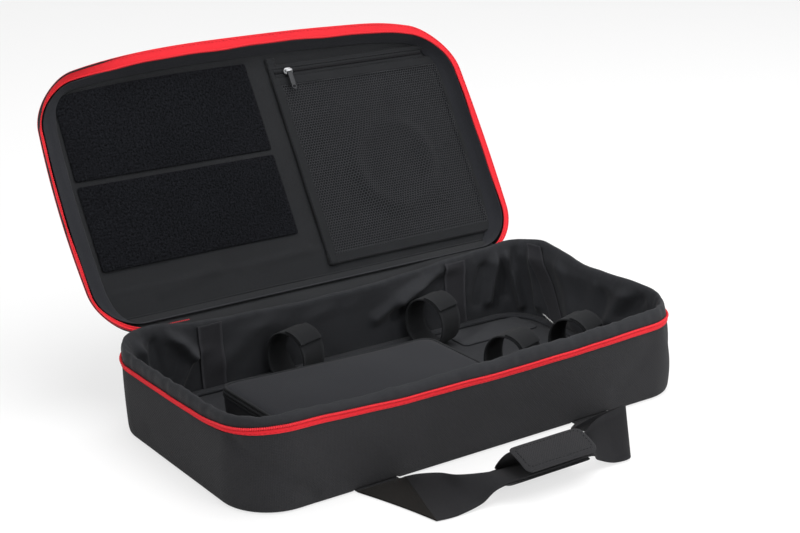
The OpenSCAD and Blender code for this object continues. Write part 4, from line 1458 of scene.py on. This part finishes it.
@dataclass
class Lid:
    """The lid: shell, red zip, lining, loop panels and the fabric hinge, worked out closed and then opened.

    Attributes:
        plan: Shared sizes.
        height: Height of the lid over the zip line.
        lining_d: Depth of the lining inside the zip plane.
        bow: How far the middle of the front edge stands out over its ends.
        forward: How far the whole front edge stands out.
        right_peak: How much further its right end stands out.
        side_bow: How far the middles of the left and the right edge stand out.
        coil_pitch: Spacing of the coil's turns.
        sink: How far the zip's inner edge sinks into the lid along the left side.
        zip_waves: Slow unevenness of the zip.
        folds: Folds of the lining near the hinge, in plan.
    """

    plan: Plan
    height: float = 26.0
    lining_d: float = 17.3
    bow: float = 22.5
    forward: float = 1.1
    right_peak: float = 3.2
    side_bow: Pair = (7.0, 3.0)
    coil_pitch: float = 2.2
    sink: float = 8.0
    zip_waves: Waves = ((5, 0.4, 0.9), (11, 0.35, 0.1), (23, 0.25, 1.9))
    folds: Tuple[Fold, ...] = (
        Fold((-250, 96), (250, 92), 0.6, 3.0), Fold((-190, 104), (-120, 92), 1.4, 7.0),
        Fold((-90, 100), (0, 90), 0.9, 6.0))

    def place(self, points: Array, share: float = 1.0) -> Array:
        """Bows the soft edges of closed points and opens the lid.

        The front bow falls off with the cube of the distance from the middle and grows with the square of
        the nearness to the front edge, with a bell-shaped peak at its right end. The side bows are half a
        sine wave long.

        Args:
            points: Points of the closed lid.
            share: Share of the bow that these points take.

        Returns:
            Points of the open lid.
        """
        x, y, z = points[..., 0], points[..., 1], points[..., 2]
        v = self.plan.hinge_y - y
        near = np.clip((v - 190.0) / 105.0, 0.0, 1.2) ** 2
        peak = self.right_peak * np.exp(-(((x - 195.0) / 55.0) ** 2))
        out = near * (self.bow * (1.0 - np.clip(np.abs(x) / 256.0, 0, 1.2) ** 3) + self.forward + peak)
        half = np.sin(np.clip((v - 8.0) / 280.0, 0.0, 1.0) * math.pi)
        left, right = (np.clip((way * x - 190.0) / 80.0, 0, 1.2) for way in (-1, 1))
        side = half * (self.side_bow[1] * right - self.side_bow[0] * left)
        return self.plan.open(np.stack([x + share * side, y - share * out, z], axis=-1))

    def left_side(self, s: Array) -> Array:
        """Returns 1 along the left side and 0 elsewhere, with smooth ends in the corners."""
        return ease(s, 232.0, 300.0) * ease(s, 668.0, 575.0)

    def section(self, s: Array, steep: Sequence[Pair], slack: Sequence[Pair], thick: float,
                steps: int) -> Tuple[Array, Array]:
        """Works out a wall that stands steep along the two long sides and leans in along the short ones.

        Args:
            s: Distance along the outline by row.
            steep: Inset and depth along the steep wall.
            slack: The same of the leaning wall, with the same depths.
            thick: Thickness of the wall.
            steps: Stretches between two points.

        Returns:
            Inset by row and column, and depth by column.
        """
        ends = (ease(s, 226, 300) * ease(s, 580, 506) + ease(s, 1032, 1106) * ease(s, 1385, 1311))[:, None]
        inset, d = band(steep, thick, steps)
        return inset[None] * (1 - ends) + band(slack, thick, steps)[0][None] * ends, d

    def zip_run(self, s: Array) -> Tuple[Array, Array, Array]:
        """Returns, by row, the share of the left side, the zip's unevenness and its width."""
        lazy = wander(s, self.plan.outline.length, self.zip_waves)
        return self.left_side(s)[:, None], lazy[:, None], self.width(s)[:, None]

    def lining_height(self, x: Array, y: Array) -> Array:
        """Works out the lining on the closed lid: slow waves, less its folds.

        Args:
            x: Places to the right.
            y: Places to the rear.

        Returns:
            The height at each place.
        """
        level = self.plan.zip_z + self.lining_d + 0.9 + 0.35 * np.sin(x / 37.0 + y / 61.0)
        level = level + 0.3 * np.sin(y / 17.0 - x / 90.0)
        for fold in self.folds:
            level = level - fold.at(x, y)
        return level

    def width(self, s: Array) -> Array:
        """Works out the splayed zip tape, which narrows to its two turned ends.

        Args:
            s: Distances along the outline.

        Returns:
            The width at each distance.
        """
        half, length = self.plan.hinge_half, self.plan.outline.length
        full = 8.0 - 1.9 * self.left_side(s) - 1.2 * ease(s, 1032.0, 1110.0)
        return full * (0.2 + 0.8 * ease(s - half, 26.0, 104.0) * ease(length - half - s, 10.0, 190.0))

    def build(self) -> None:
        """Builds and dresses every piece of the lid."""
        self.build_shell()
        self.build_zip()
        self.build_lining()
        self.build_loops()
        self.build_hinge()

    def build_shell(self) -> None:
        """The padded outer shell: a side wall that leans in, more at the two ends, and the outer panel."""
        plan, s = self.plan, self.plan.ring()
        base, length = plan.zip_z, plan.outline.length
        steep = [(1.0, 0.2), (0.2, 1.4), (0.4, 7), (1.8, 13), (5.0, 20), (9.0, 24.4), (14, 26)]
        slack = [(1.0, 0.2), (0.4, 1.4), (3.4, 7), (7.0, 13), (12.0, 20), (16.5, 24.4), (22, 26)]
        inset, d = self.section(s, steep, slack, 1.6, 7)
        soft = wander(s, length, [(6, 0.5, 0.3), (14, 0.4, 1.8), (27, 0.25, 0.7)])
        # Flat along the left side, where the zip lies close inside
        soft = (soft * (1.0 - self.left_side(s)))[:, None]
        swell = np.sin(np.clip(d / self.height, 0, 1) * math.pi)[None]
        ring = plan.outline.points(s, inset - soft * swell, base + d[None])
        shell = make_ring("lid_side_shell", self.place(ring))
        dress(shell, Finishes.outer, "lid", ["lid_side_wall", "lid_board", "lid_foam"])
        face = RoundedRectangle(plan.outline.width - 42, plan.outline.depth - 26, plan.outline.radius - 14)
        crown = lambda x, y: 0.9 * np.cos(x / 190.0) * np.cos(y / 100.0)
        swollen = lambda x, y: base + 25.2 + crown(x, y) + 0.25 * np.sin(x / 23 + y / 31)
        panel = make_sheet("lid_outer_face", face, swollen, 1.5, self.place)
        dress(panel, Finishes.outer, "lid", ["lid_outer_panel"])

    def build_zip(self) -> None:
        """The red tape, splayed inwards, with its coil along the inner edge; on the left it sinks inwards."""
        plan = self.plan
        way = plan.zip_way()
        fine = plan.zip_way(int(plan.outline.length / self.coil_pitch * 6))
        along = np.linspace(0.0, 1.0, 8)
        t = np.concatenate([along, along[::-1]])[None]
        under = np.concatenate([np.zeros(8), np.full(8, 0.9)])[None]
        left, lazy, wide = self.zip_run(way)
        inset = 0.2 + t * wide + lazy * t
        d = 0.2 + t * (0.5 + self.sink * left) + under
        tape = make_tube("zip_tape_lid", self.place(plan.outline.points(way, inset, plan.zip_z + d)))
        dress(tape, Finishes.red_tape, "lid", ["lid_zip_tape"])
        row = plan.outline.points(way, 0.2 + 0.24 * wide + 0.2 * lazy, plan.zip_z + 0.1 + 1.8 * left)[:, 0]
        left, lazy, wide = self.zip_run(fine)
        across, up, size = coil_section(fine, self.coil_pitch, 1.1)
        bead = plan.outline.points(fine, 0.6 + wide + lazy + across[None] * size,
                                   plan.zip_z + 0.9 + self.sink * left + up[None] * size)
        coil = make_tube("zip_coil_lid", self.place(bead))
        dress(coil, Finishes.red_coil, "lid", ["lid_zip_coil"])
        out = self.place(row - np.array([0.0, 0.0, 1.0])) - self.place(row)
        stitches = make_stitches("zip_stitches_lid", self.place(row), out, wide=0.6)
        dress(stitches, Finishes.red_thread, "lid")

    def build_lining(self) -> None:
        """The lining over the lid's inner face, its turned side and the seam over the hinge."""
        plan, s = self.plan, self.plan.ring(480)
        left = self.left_side(s)[:, None]
        steep = [(8.8, 1.4), (10.2, 6), (11.6, 11), (14.0, 17.6)]
        slack = [(8.8, 1.4), (12.0, 6), (17.0, 11), (27.0, 17.4)]
        inset, d = self.section(s, steep, slack, 0.9, 5)
        sunk = d[None] + 7.2 * left * np.clip(1.0 - d / 14.0, 0, 1)[None]
        side = make_ring("lid_side_lining", self.place(plan.outline.points(s, inset, plan.zip_z + sunk)))
        # Painted light: the turned side takes the paler copy of the nylon
        dress(side, Finishes.lid_side, "lid", ["lid_edge_binding"])
        face = RoundedRectangle(plan.outline.width - 25, plan.outline.depth - 25, plan.outline.radius - 12)
        cloth = make_sheet("lid_lining_cloth", face, self.lining_height, 1.0, self.place, (180, 110))
        # Painted shade: the lid's lining takes the darker copy of the nylon
        dress(cloth, Finishes.lid_lining, "lid", ["lid_lining"])
        x = np.linspace(-252.0, 252.0, 200)
        across, up = loop_profile(1.1, 1.0, 8)
        y = plan.hinge_y - 24.0 + 0.4 * np.sin(x / 40.0)
        line = grid_of(x[:, None], y[:, None] + across[None], plan.zip_z + self.lining_d - 0.4 + up[None])
        seam = make_tube("lid_lining_seam", self.place(line))
        dress(seam, Finishes.binding, "lid")

    def build_loops(self) -> None:
        """The two dark loop pile panels."""
        wide, deep = 244.0, 97.75
        flip = np.array([1.0, 1.0, -1.0])
        nap = lambda x, y: 0.3 * np.sin(x / 21.0) * np.sin(y / 17.0)
        for name, front in (("upper", -130.5), ("lower", -26.75)):
            centre = np.array([-128.0, front + deep / 2, self.plan.zip_z + self.lining_d - 1.1])
            lay = lambda p: self.place(p * flip + centre, 0.6)
            pad = make_pad(f"loop_{name}_pile", (wide, deep, 2.4), lay, 3.0, 60.0, (110, 60), nap)
            dress(pad, Finishes.pile, "lid", [f"loop_panel_{name}"])

    def build_hinge(self) -> None:
        """The cloth that joins the base's rear rim to the open lid.

        It lies nearly straight from under the rim's crest to the lower edge of the lid's lining.
        """
        x = np.linspace(-246.0, 246.0, 160)
        line = np.array([(138.5, 84.0), (142.5, 87.4), (148.5, 89.6), (157.5, 91.9), (167.0, 94.2),
                         (176.4, 96.6)])
        raised = 2.5 * ease(x, 110.0, 172.0)[:, None] * np.array([0.0, 0.4, 1.0, 1.0, 0.6, 0.0])[None]
        across = grid_of(x[:, None], line[None, :, 0], line[None, :, 1] + raised)
        points = smooth(across.transpose(1, 0, 2), 8).transpose(1, 0, 2)
        share = np.sin(np.linspace(0, 1, points.shape[1]) * math.pi)[None]
        droop = (0.8 * np.sin(x / 33.0) + 0.5 * np.sin(x / 14.0 + 1.0))[:, None] * share
        sagged = points - droop[..., None] * np.array([0.0, 0.2, 0.3])
        cloth = make_grid("hinge_cloth", sagged, (False, False))
        thicken(cloth, 1.0)
        # Painted shade: the hinge cloth takes the darker copy of the nylon
        cloth.data.materials.append(Finishes.lid_lining.material())
        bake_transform(cloth)
        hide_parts("lid_hinge_strip")
        LOG.info("piece hinge_cloth bends from base to lid")


@dataclass
class MeshPocket:
    """The zipped mesh pocket on the lid's lining, worked out in the closed lid's frame.

    Attributes:
        plan: Shared sizes.
        left: Left edge.
        right: Right edge.
        front: Edge towards the lid's front edge.
        rear: Edge towards the hinge.
        edge: Width of the bound edges.
        zip_y: Line of the pocket zip.
        face_d: Depth of the pocket's face inside the zip plane.
        cell: Pitch of the net.
        strand: Width of a strand.
        slider_x: Place of the pocket zip's slider.
    """

    plan: Plan
    left: float = 21.0
    right: float = 268.0
    front: float = -135.0
    rear: float = 116.0
    edge: float = 13.0
    zip_y: float = -123.0
    face_d: float = 13.3
    cell: float = 3.5
    strand: float = 0.95
    slider_x: float = 45.0

    def build(self) -> None:
        """Builds and dresses the bound edges, the net, the zip and its slider."""
        self.build_edges()
        self.build_net()
        self.build_zip()
        self.build_slider()

    def build_edges(self) -> None:
        """The bound edges: five flat strips with rounded sides, sewn down with two rows of stitches."""
        inner = self.edge / 2
        strips = {
            "left": ((self.left + inner, self.front - 7), (self.left + inner, self.rear)),
            "right": ((self.right - inner, self.front + 24), (self.right - inner, self.rear - 3)),
            "rear": ((self.left, self.rear - inner), (self.right - 3, self.rear - inner)),
            "middle": ((self.left, self.zip_y + 4 + inner), (self.right, self.zip_y + 4 + inner)),
            "front": ((self.left, self.front + 4), (self.right - 22, self.front + 4)),
        }
        middle = self.plan.zip_z + self.face_d + 2.0
        for name, (a, b) in strips.items():
            line = np.linspace(a, b, 90)
            way = (np.array(b) - a) / np.linalg.norm(np.array(b) - a)
            half = (4.0 if name == "front" else inner) * np.array([-way[1], way[0]])
            dip = 0.35 * np.sin(np.arange(90) / 4.0)
            low = np.column_stack([line - half, middle + dip])
            high = np.column_stack([line + half, middle + dip])
            strip = make_ribbon(f"pocket_edge_{name}", self.plan.open(low), self.plan.open(high), 3.8, rims=4)
            dress(strip, Finishes.binding, "lid", ["pocket_frame"] if name == "left" else [])
            for row, share in (("outer", -0.72), ("inner", 0.72)):
                path = np.column_stack([line + share * half, middle + dip - 2.0])
                out = self.plan.open(path - np.array([0, 0, 1.0])) - self.plan.open(path)
                sewn = f"pocket_{name}_{row}_stitches"
                stitches = make_stitches(sewn, self.plan.open(path), out, 2.6, 1.4, 0.8)
                dress(stitches, Finishes.thread, "lid")

    def net_height(self, x: Array, y: Array) -> Array:
        """Works out how far the net stands off: slack waves and a round bulge from within.

        Args:
            x: Places to the right.
            y: Places to the rear.

        Returns:
            The distance at each place.
        """
        off = np.hypot(x - 150.0, y - 10.0)
        bulge = 6.0 * np.exp(-(((off - 52.0) / 10.0) ** 2)) + 0.7 * np.exp(-((off / 34.0) ** 2))
        waves = 0.8 * np.sin(x / 24.0 + y / 70.0) + 0.6 * np.sin(y / 19.0 - x / 45.0)
        edge = np.minimum(np.minimum(x - self.left - self.edge, self.right - self.edge - x),
                          np.minimum(y - self.zip_y - 17.0, self.rear - self.edge - y))
        return (bulge + waves) * np.clip(edge / 25.0, 0.0, 1.0)

    def build_net(self) -> None:
        """The net: strands along the sides of a honeycomb, each a four-sided bar.

        Cells sit in offset rows. Every cell gives three of its six sides, so each side comes once.
        """
        pitch = self.cell
        x0, x1 = self.left + self.edge - 2, self.right - self.edge + 2
        y0, y1 = self.zip_y + 4 + self.edge - 2, self.rear - self.edge + 2
        rows = int((y1 - y0) / (pitch * 0.866)) + 2
        columns = int((x1 - x0) / pitch) + 2
        j, i = np.meshgrid(np.arange(rows), np.arange(columns), indexing="ij")
        centre = np.stack([x0 + (i + 0.5 * (j % 2)) * pitch, y0 + j * pitch * 0.866], axis=-1).reshape(-1, 2)
        corner = np.radians([30.0, 90.0, 150.0, 210.0])
        way = np.stack([np.cos(corner), np.sin(corner)], axis=-1)
        spots = centre[:, None] + pitch / math.sqrt(3.0) * way[None]
        a, b = spots[:, :3].reshape(-1, 2), spots[:, 1:].reshape(-1, 2)
        middle = (a + b) / 2
        keep = (middle[:, 0] > x0) & (middle[:, 0] < x1) & (middle[:, 1] > y0) & (middle[:, 1] < y1)
        a, b = a[keep], b[keep]
        way = (b - a) / np.linalg.norm(b - a, axis=1)[:, None]
        side = np.column_stack([-way[:, 1], way[:, 0]]) * self.strand / 2
        a, b = a - way * self.strand * 0.3, b + way * self.strand * 0.3
        level = self.plan.zip_z + self.face_d + 0.6
        parts = []
        for end in (a, b):
            z = level - self.net_height(end[:, 0], end[:, 1])
            parts += [np.column_stack([end + side, z]), np.column_stack([end, z - 0.45]),
                      np.column_stack([end - side, z]), np.column_stack([end, z + 0.45])]
        points = np.stack(parts, axis=1)
        faces = np.array([[0, 1, 5, 4], [1, 2, 6, 5], [2, 3, 7, 6], [3, 0, 4, 7], [0, 3, 2, 1], [4, 5, 6, 7]])
        every = (np.arange(len(a))[:, None, None] * 8 + faces[None]).reshape(-1, 4)
        net = make_object("pocket_net", self.plan.open(points.reshape(-1, 3)), [every],
                          np.tile(np.array([[0, 0], [1, 0], [1, 1], [0, 1]]) * MM, (len(every), 1)))
        dress(net, Finishes.net, "lid", ["pocket_mesh"])

    def build_zip(self) -> None:
        """The pocket zip: its tape and the coil down its middle."""
        x = np.linspace(self.left + 6.5, self.right - 27.5, 200)
        z = self.plan.zip_z + self.face_d + 0.7 + 0 * x
        edges = [self.plan.open(np.column_stack([x, 0 * x + self.zip_y + k * 4.4, z])) for k in (-1, 1)]
        tape = make_ribbon("pocket_zip_cloth", edges[0], edges[1], 1.2)
        dress(tape, Finishes.binding, "lid", ["pocket_zip_tape"])
        fine = np.linspace(x[0], x[-1], 1000)
        across, up = loop_profile(1.0, 1.0, 8)
        size = (1.0 - 0.25 * np.cos(TAU * fine / 2.0))[:, None]
        bead = grid_of(fine[:, None], self.zip_y + 1.3 * across[None] * size,
                       z[0] - 1.2 + 0.6 * up[None] * size)
        coil = make_tube("pocket_zip_bead", self.plan.open(bead))
        dress(coil, Finishes.black_coil, "lid", ["pocket_zip_coil"])

    def build_slider(self) -> None:
        """The pocket zip's slider: a rounded body with a bridge, and a puller with an eye at its end."""
        spot = np.array([self.slider_x, self.zip_y, self.plan.zip_z + self.face_d])
        body = make_pad("pocket_slider_body", (12.4, 9.4, 3.8),
                        lambda p: self.plan.open(p + spot - np.array([0.0, 0.0, 1.9])), 4.4, 5.0, (32, 24))
        dress(body, Finishes.nickel, "pocket_slider", ["pocket_slider"])
        turn = np.linspace(0.0, math.pi, 24)
        arch = np.column_stack([4.6 * np.cos(turn), 0 * turn, -3.4 - 3.2 * np.sin(turn) ** 0.6])
        sides = [self.plan.open(spot + arch + np.array([0.0, k * 1.7, 0.0])) for k in (-1, 1)]
        bridge = make_ribbon("pocket_slider_bridge", sides[0], sides[1], 1.1)
        dress(bridge, Finishes.nickel, "pocket_slider")
        pin = spot - np.array([0.0, 0.0, 5.25])
        tab = make_pad("pocket_puller_tab", (6.4, 20.0, 1.6),
                       lambda p: self.plan.open(p + pin + np.array([0.0, 9.0, 0.0])), 2.6, 9.0, (24, 40))
        dress(tab, Finishes.puller, "pocket_puller", ["pocket_puller"])
        turn = np.linspace(0.0, TAU, 40, endpoint=False)[:, None]
        across, up = loop_profile(1.0, 0.9, 10)
        reach = 2.5 + across
        round_pin = grid_of(pin[0] + reach * np.cos(turn), pin[1] + 20.9 + reach * np.sin(turn), pin[2] + up)
        eye = make_ring("pocket_puller_eye", self.plan.open(round_pin))
        dress(eye, Finishes.puller, "pocket_puller")


@dataclass
class ZipHardware:
    """The main zip's sliders and pullers, whose solids stay and only take a finish.

    Attributes:
        sliders: Solids in nickel.
        pullers: Solids in dark paint.
    """

    sliders: Tuple[str, ...] = ("main_slider_left", "main_slider_right")
    pullers: Tuple[str, ...] = ("main_puller_left", "main_puller_right")

    def build(self, nodes: Dict[str, bpy.types.Object]) -> None:
        """Gives each solid its finish.

        Args:
            nodes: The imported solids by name.
        """
        for names, finish in ((self.sliders, Finishes.nickel), (self.pullers, Finishes.puller)):
            for name in names:
                nodes[name].data.materials.clear()
                nodes[name].data.materials.append(finish.material())


@dataclass(frozen=True)
class Lamp:
    """A lamp of the studio.

    Attributes:
        name: Name of the lamp.
        place: Where it hangs, in metres.
        aim: What it points at, in metres.
        power: Power in watts.
        size: Width of the round area that shines, in metres.
        cone: Full angle of a spot in degrees, or 0 for an area lamp.
    """

    name: str
    place: Triple
    aim: Triple
    power: float
    size: float
    cone: float = 0.0

    def build(self) -> None:
        """Hangs the lamp and turns it to its aim."""
        data = bpy.data.lights.new(self.name, "SPOT" if self.cone else "AREA")
        data.energy = self.power
        if self.cone:
            data.spot_size = math.radians(self.cone)
            data.spot_blend = 1.0
            data.shadow_soft_size = self.size
        else:
            data.shape = "DISK"
            data.size = self.size
        lamp = bpy.data.objects.new(self.name, data)
        bpy.context.scene.collection.objects.link(lamp)
        lamp.location = self.place
        lamp.rotation_euler = (Vector(self.aim) - Vector(self.place)).to_track_quat("-Z", "Y").to_euler()


@dataclass
class Studio:
    """The camera of the photograph, a pale floor and soft light from above.

    Attributes:
        eye: Camera place in mm.
        heading: Camera heading to the right of straight back, in degrees.
        tilt: Camera tilt below the horizon, in degrees.
        roll: Camera roll in degrees.
        lens: Focal length in mm on a 36 mm wide frame.
        floor_half: Half the width of the floor.
        floor_glow: Share of plain white in the floor as the camera sees it.
        world_light: Strength of the world where the camera doesn't see it.
        lamps: Large lamps overhead, in front and at both sides, and a spot on the right inner wall.
    """

    eye: Triple = (-949.06, -1334.74, 704.08)
    heading: float = 35.2013
    tilt: float = 18.4481
    roll: float = -0.2005
    lens: float = 73.5626
    floor_half: float = 12000.0
    floor_glow: float = 0.62
    world_light: float = 0.5
    lamps: Tuple[Lamp, ...] = (
        Lamp("overhead", (0.4, -0.3, 2.3), (0.0, 0.0, 0.0), 42.0, 2.4),
        Lamp("front", (0.9, -2.9, 1.4), (0.0, 0.0, 0.1), 36.0, 1.8),
        Lamp("left", (-2.0, -1.1, 2.1), (0.0, 0.0, 0.1), 12.0, 1.6),
        Lamp("right", (2.4, -1.0, 1.5), (0.0, 0.0, 0.1), 10.0, 1.6),
        Lamp("inside", (-0.9, -0.35, 0.85), (0.25, 0.03, 0.07), 40.0, 0.12, 20.0),
    )

    def build(self) -> None:
        """Builds the camera, the floor, the lamps and the world."""
        self.build_camera()
        self.build_floor()
        self.build_light()

    def build_camera(self) -> None:
        """Places the camera: turned to its heading, tilted and rolled."""
        data = bpy.data.cameras.new("camera")
        data.lens = self.lens
        data.sensor_width = 36.0
        data.sensor_fit = "HORIZONTAL"
        data.clip_end = 50.0
        camera = bpy.data.objects.new("camera", data)
        bpy.context.scene.collection.objects.link(camera)
        turn = (Matrix.Rotation(math.radians(-self.heading), 4, "Z")
                @ Matrix.Rotation(math.radians(90.0 - self.tilt), 4, "X")
                @ Matrix.Rotation(math.radians(self.roll), 4, "Z"))
        camera.matrix_world = Matrix.Translation([v * MM for v in self.eye]) @ turn
        bpy.context.scene.camera = camera

    def build_floor(self) -> None:
        """A wide pale floor that reads as white to the camera and keeps the soft shadow."""
        half, z = self.floor_half, -0.2
        points = np.array([(-half, -half, z), (half, -half, z), (half, half, z), (-half, half, z)])
        floor = make_object("floor", points, [np.array([[0, 1, 2, 3]])])
        made, tree, shader = new_material("white_floor")
        feed(tree, shader, {"Base Color": linear("f4f4f4"), "Roughness": 0.7}, {})
        seen = {0: seen_directly(tree)}
        share = add_node(tree, "ShaderNodeMath", {1: self.floor_glow}, seen, operation="MULTIPLY")
        white = add_node(tree, "ShaderNodeEmission", {"Color": WHITE, "Strength": 1.06})
        mixed = add_node(tree, "ShaderNodeMixShader", {},
                         {0: share.outputs[0], 1: shader.outputs[0], 2: white.outputs[0]})
        tree.links.new(mixed.outputs[0], tree.nodes["Material Output"].inputs["Surface"])
        floor.data.materials.append(made)

    def build_light(self) -> None:
        """Hangs the lamps in an even white world."""
        for lamp in self.lamps:
            lamp.build()
        world = bpy.data.worlds.new("studio")
        bpy.context.scene.world = world
        world.use_nodes = True
        tree = world.node_tree
        power = add_node(tree, "ShaderNodeMapRange", {3: self.world_light, 4: 1.0}, {0: seen_directly(tree)})
        back = tree.nodes["Background"]
        back.inputs["Color"].default_value = WHITE
        tree.links.new(power.outputs[0], back.inputs["Strength"])


def main() -> None:
    """Loads the frame and builds every sub-assembly in order."""
    logging.basicConfig(level=logging.INFO, format="%(message)s")
    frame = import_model()
    bpy.context.scene.view_settings.view_transform = "Standard"
    plan = Plan()
    Studio().build()
    Base(plan).build()
    Organiser().build()
    for number, lean in ((1, 1.0), (2, -1.0), (3, 1.5), (4, -0.5)):
        StrapLoop(number, lean).build()
    CarryHandle().build()
    Lid(plan).build()
    MeshPocket(plan).build()
    LidHandle(plan=plan).build()
    ZipHardware().build(frame["nodes"])


if __name__ == "__main__":
    main()
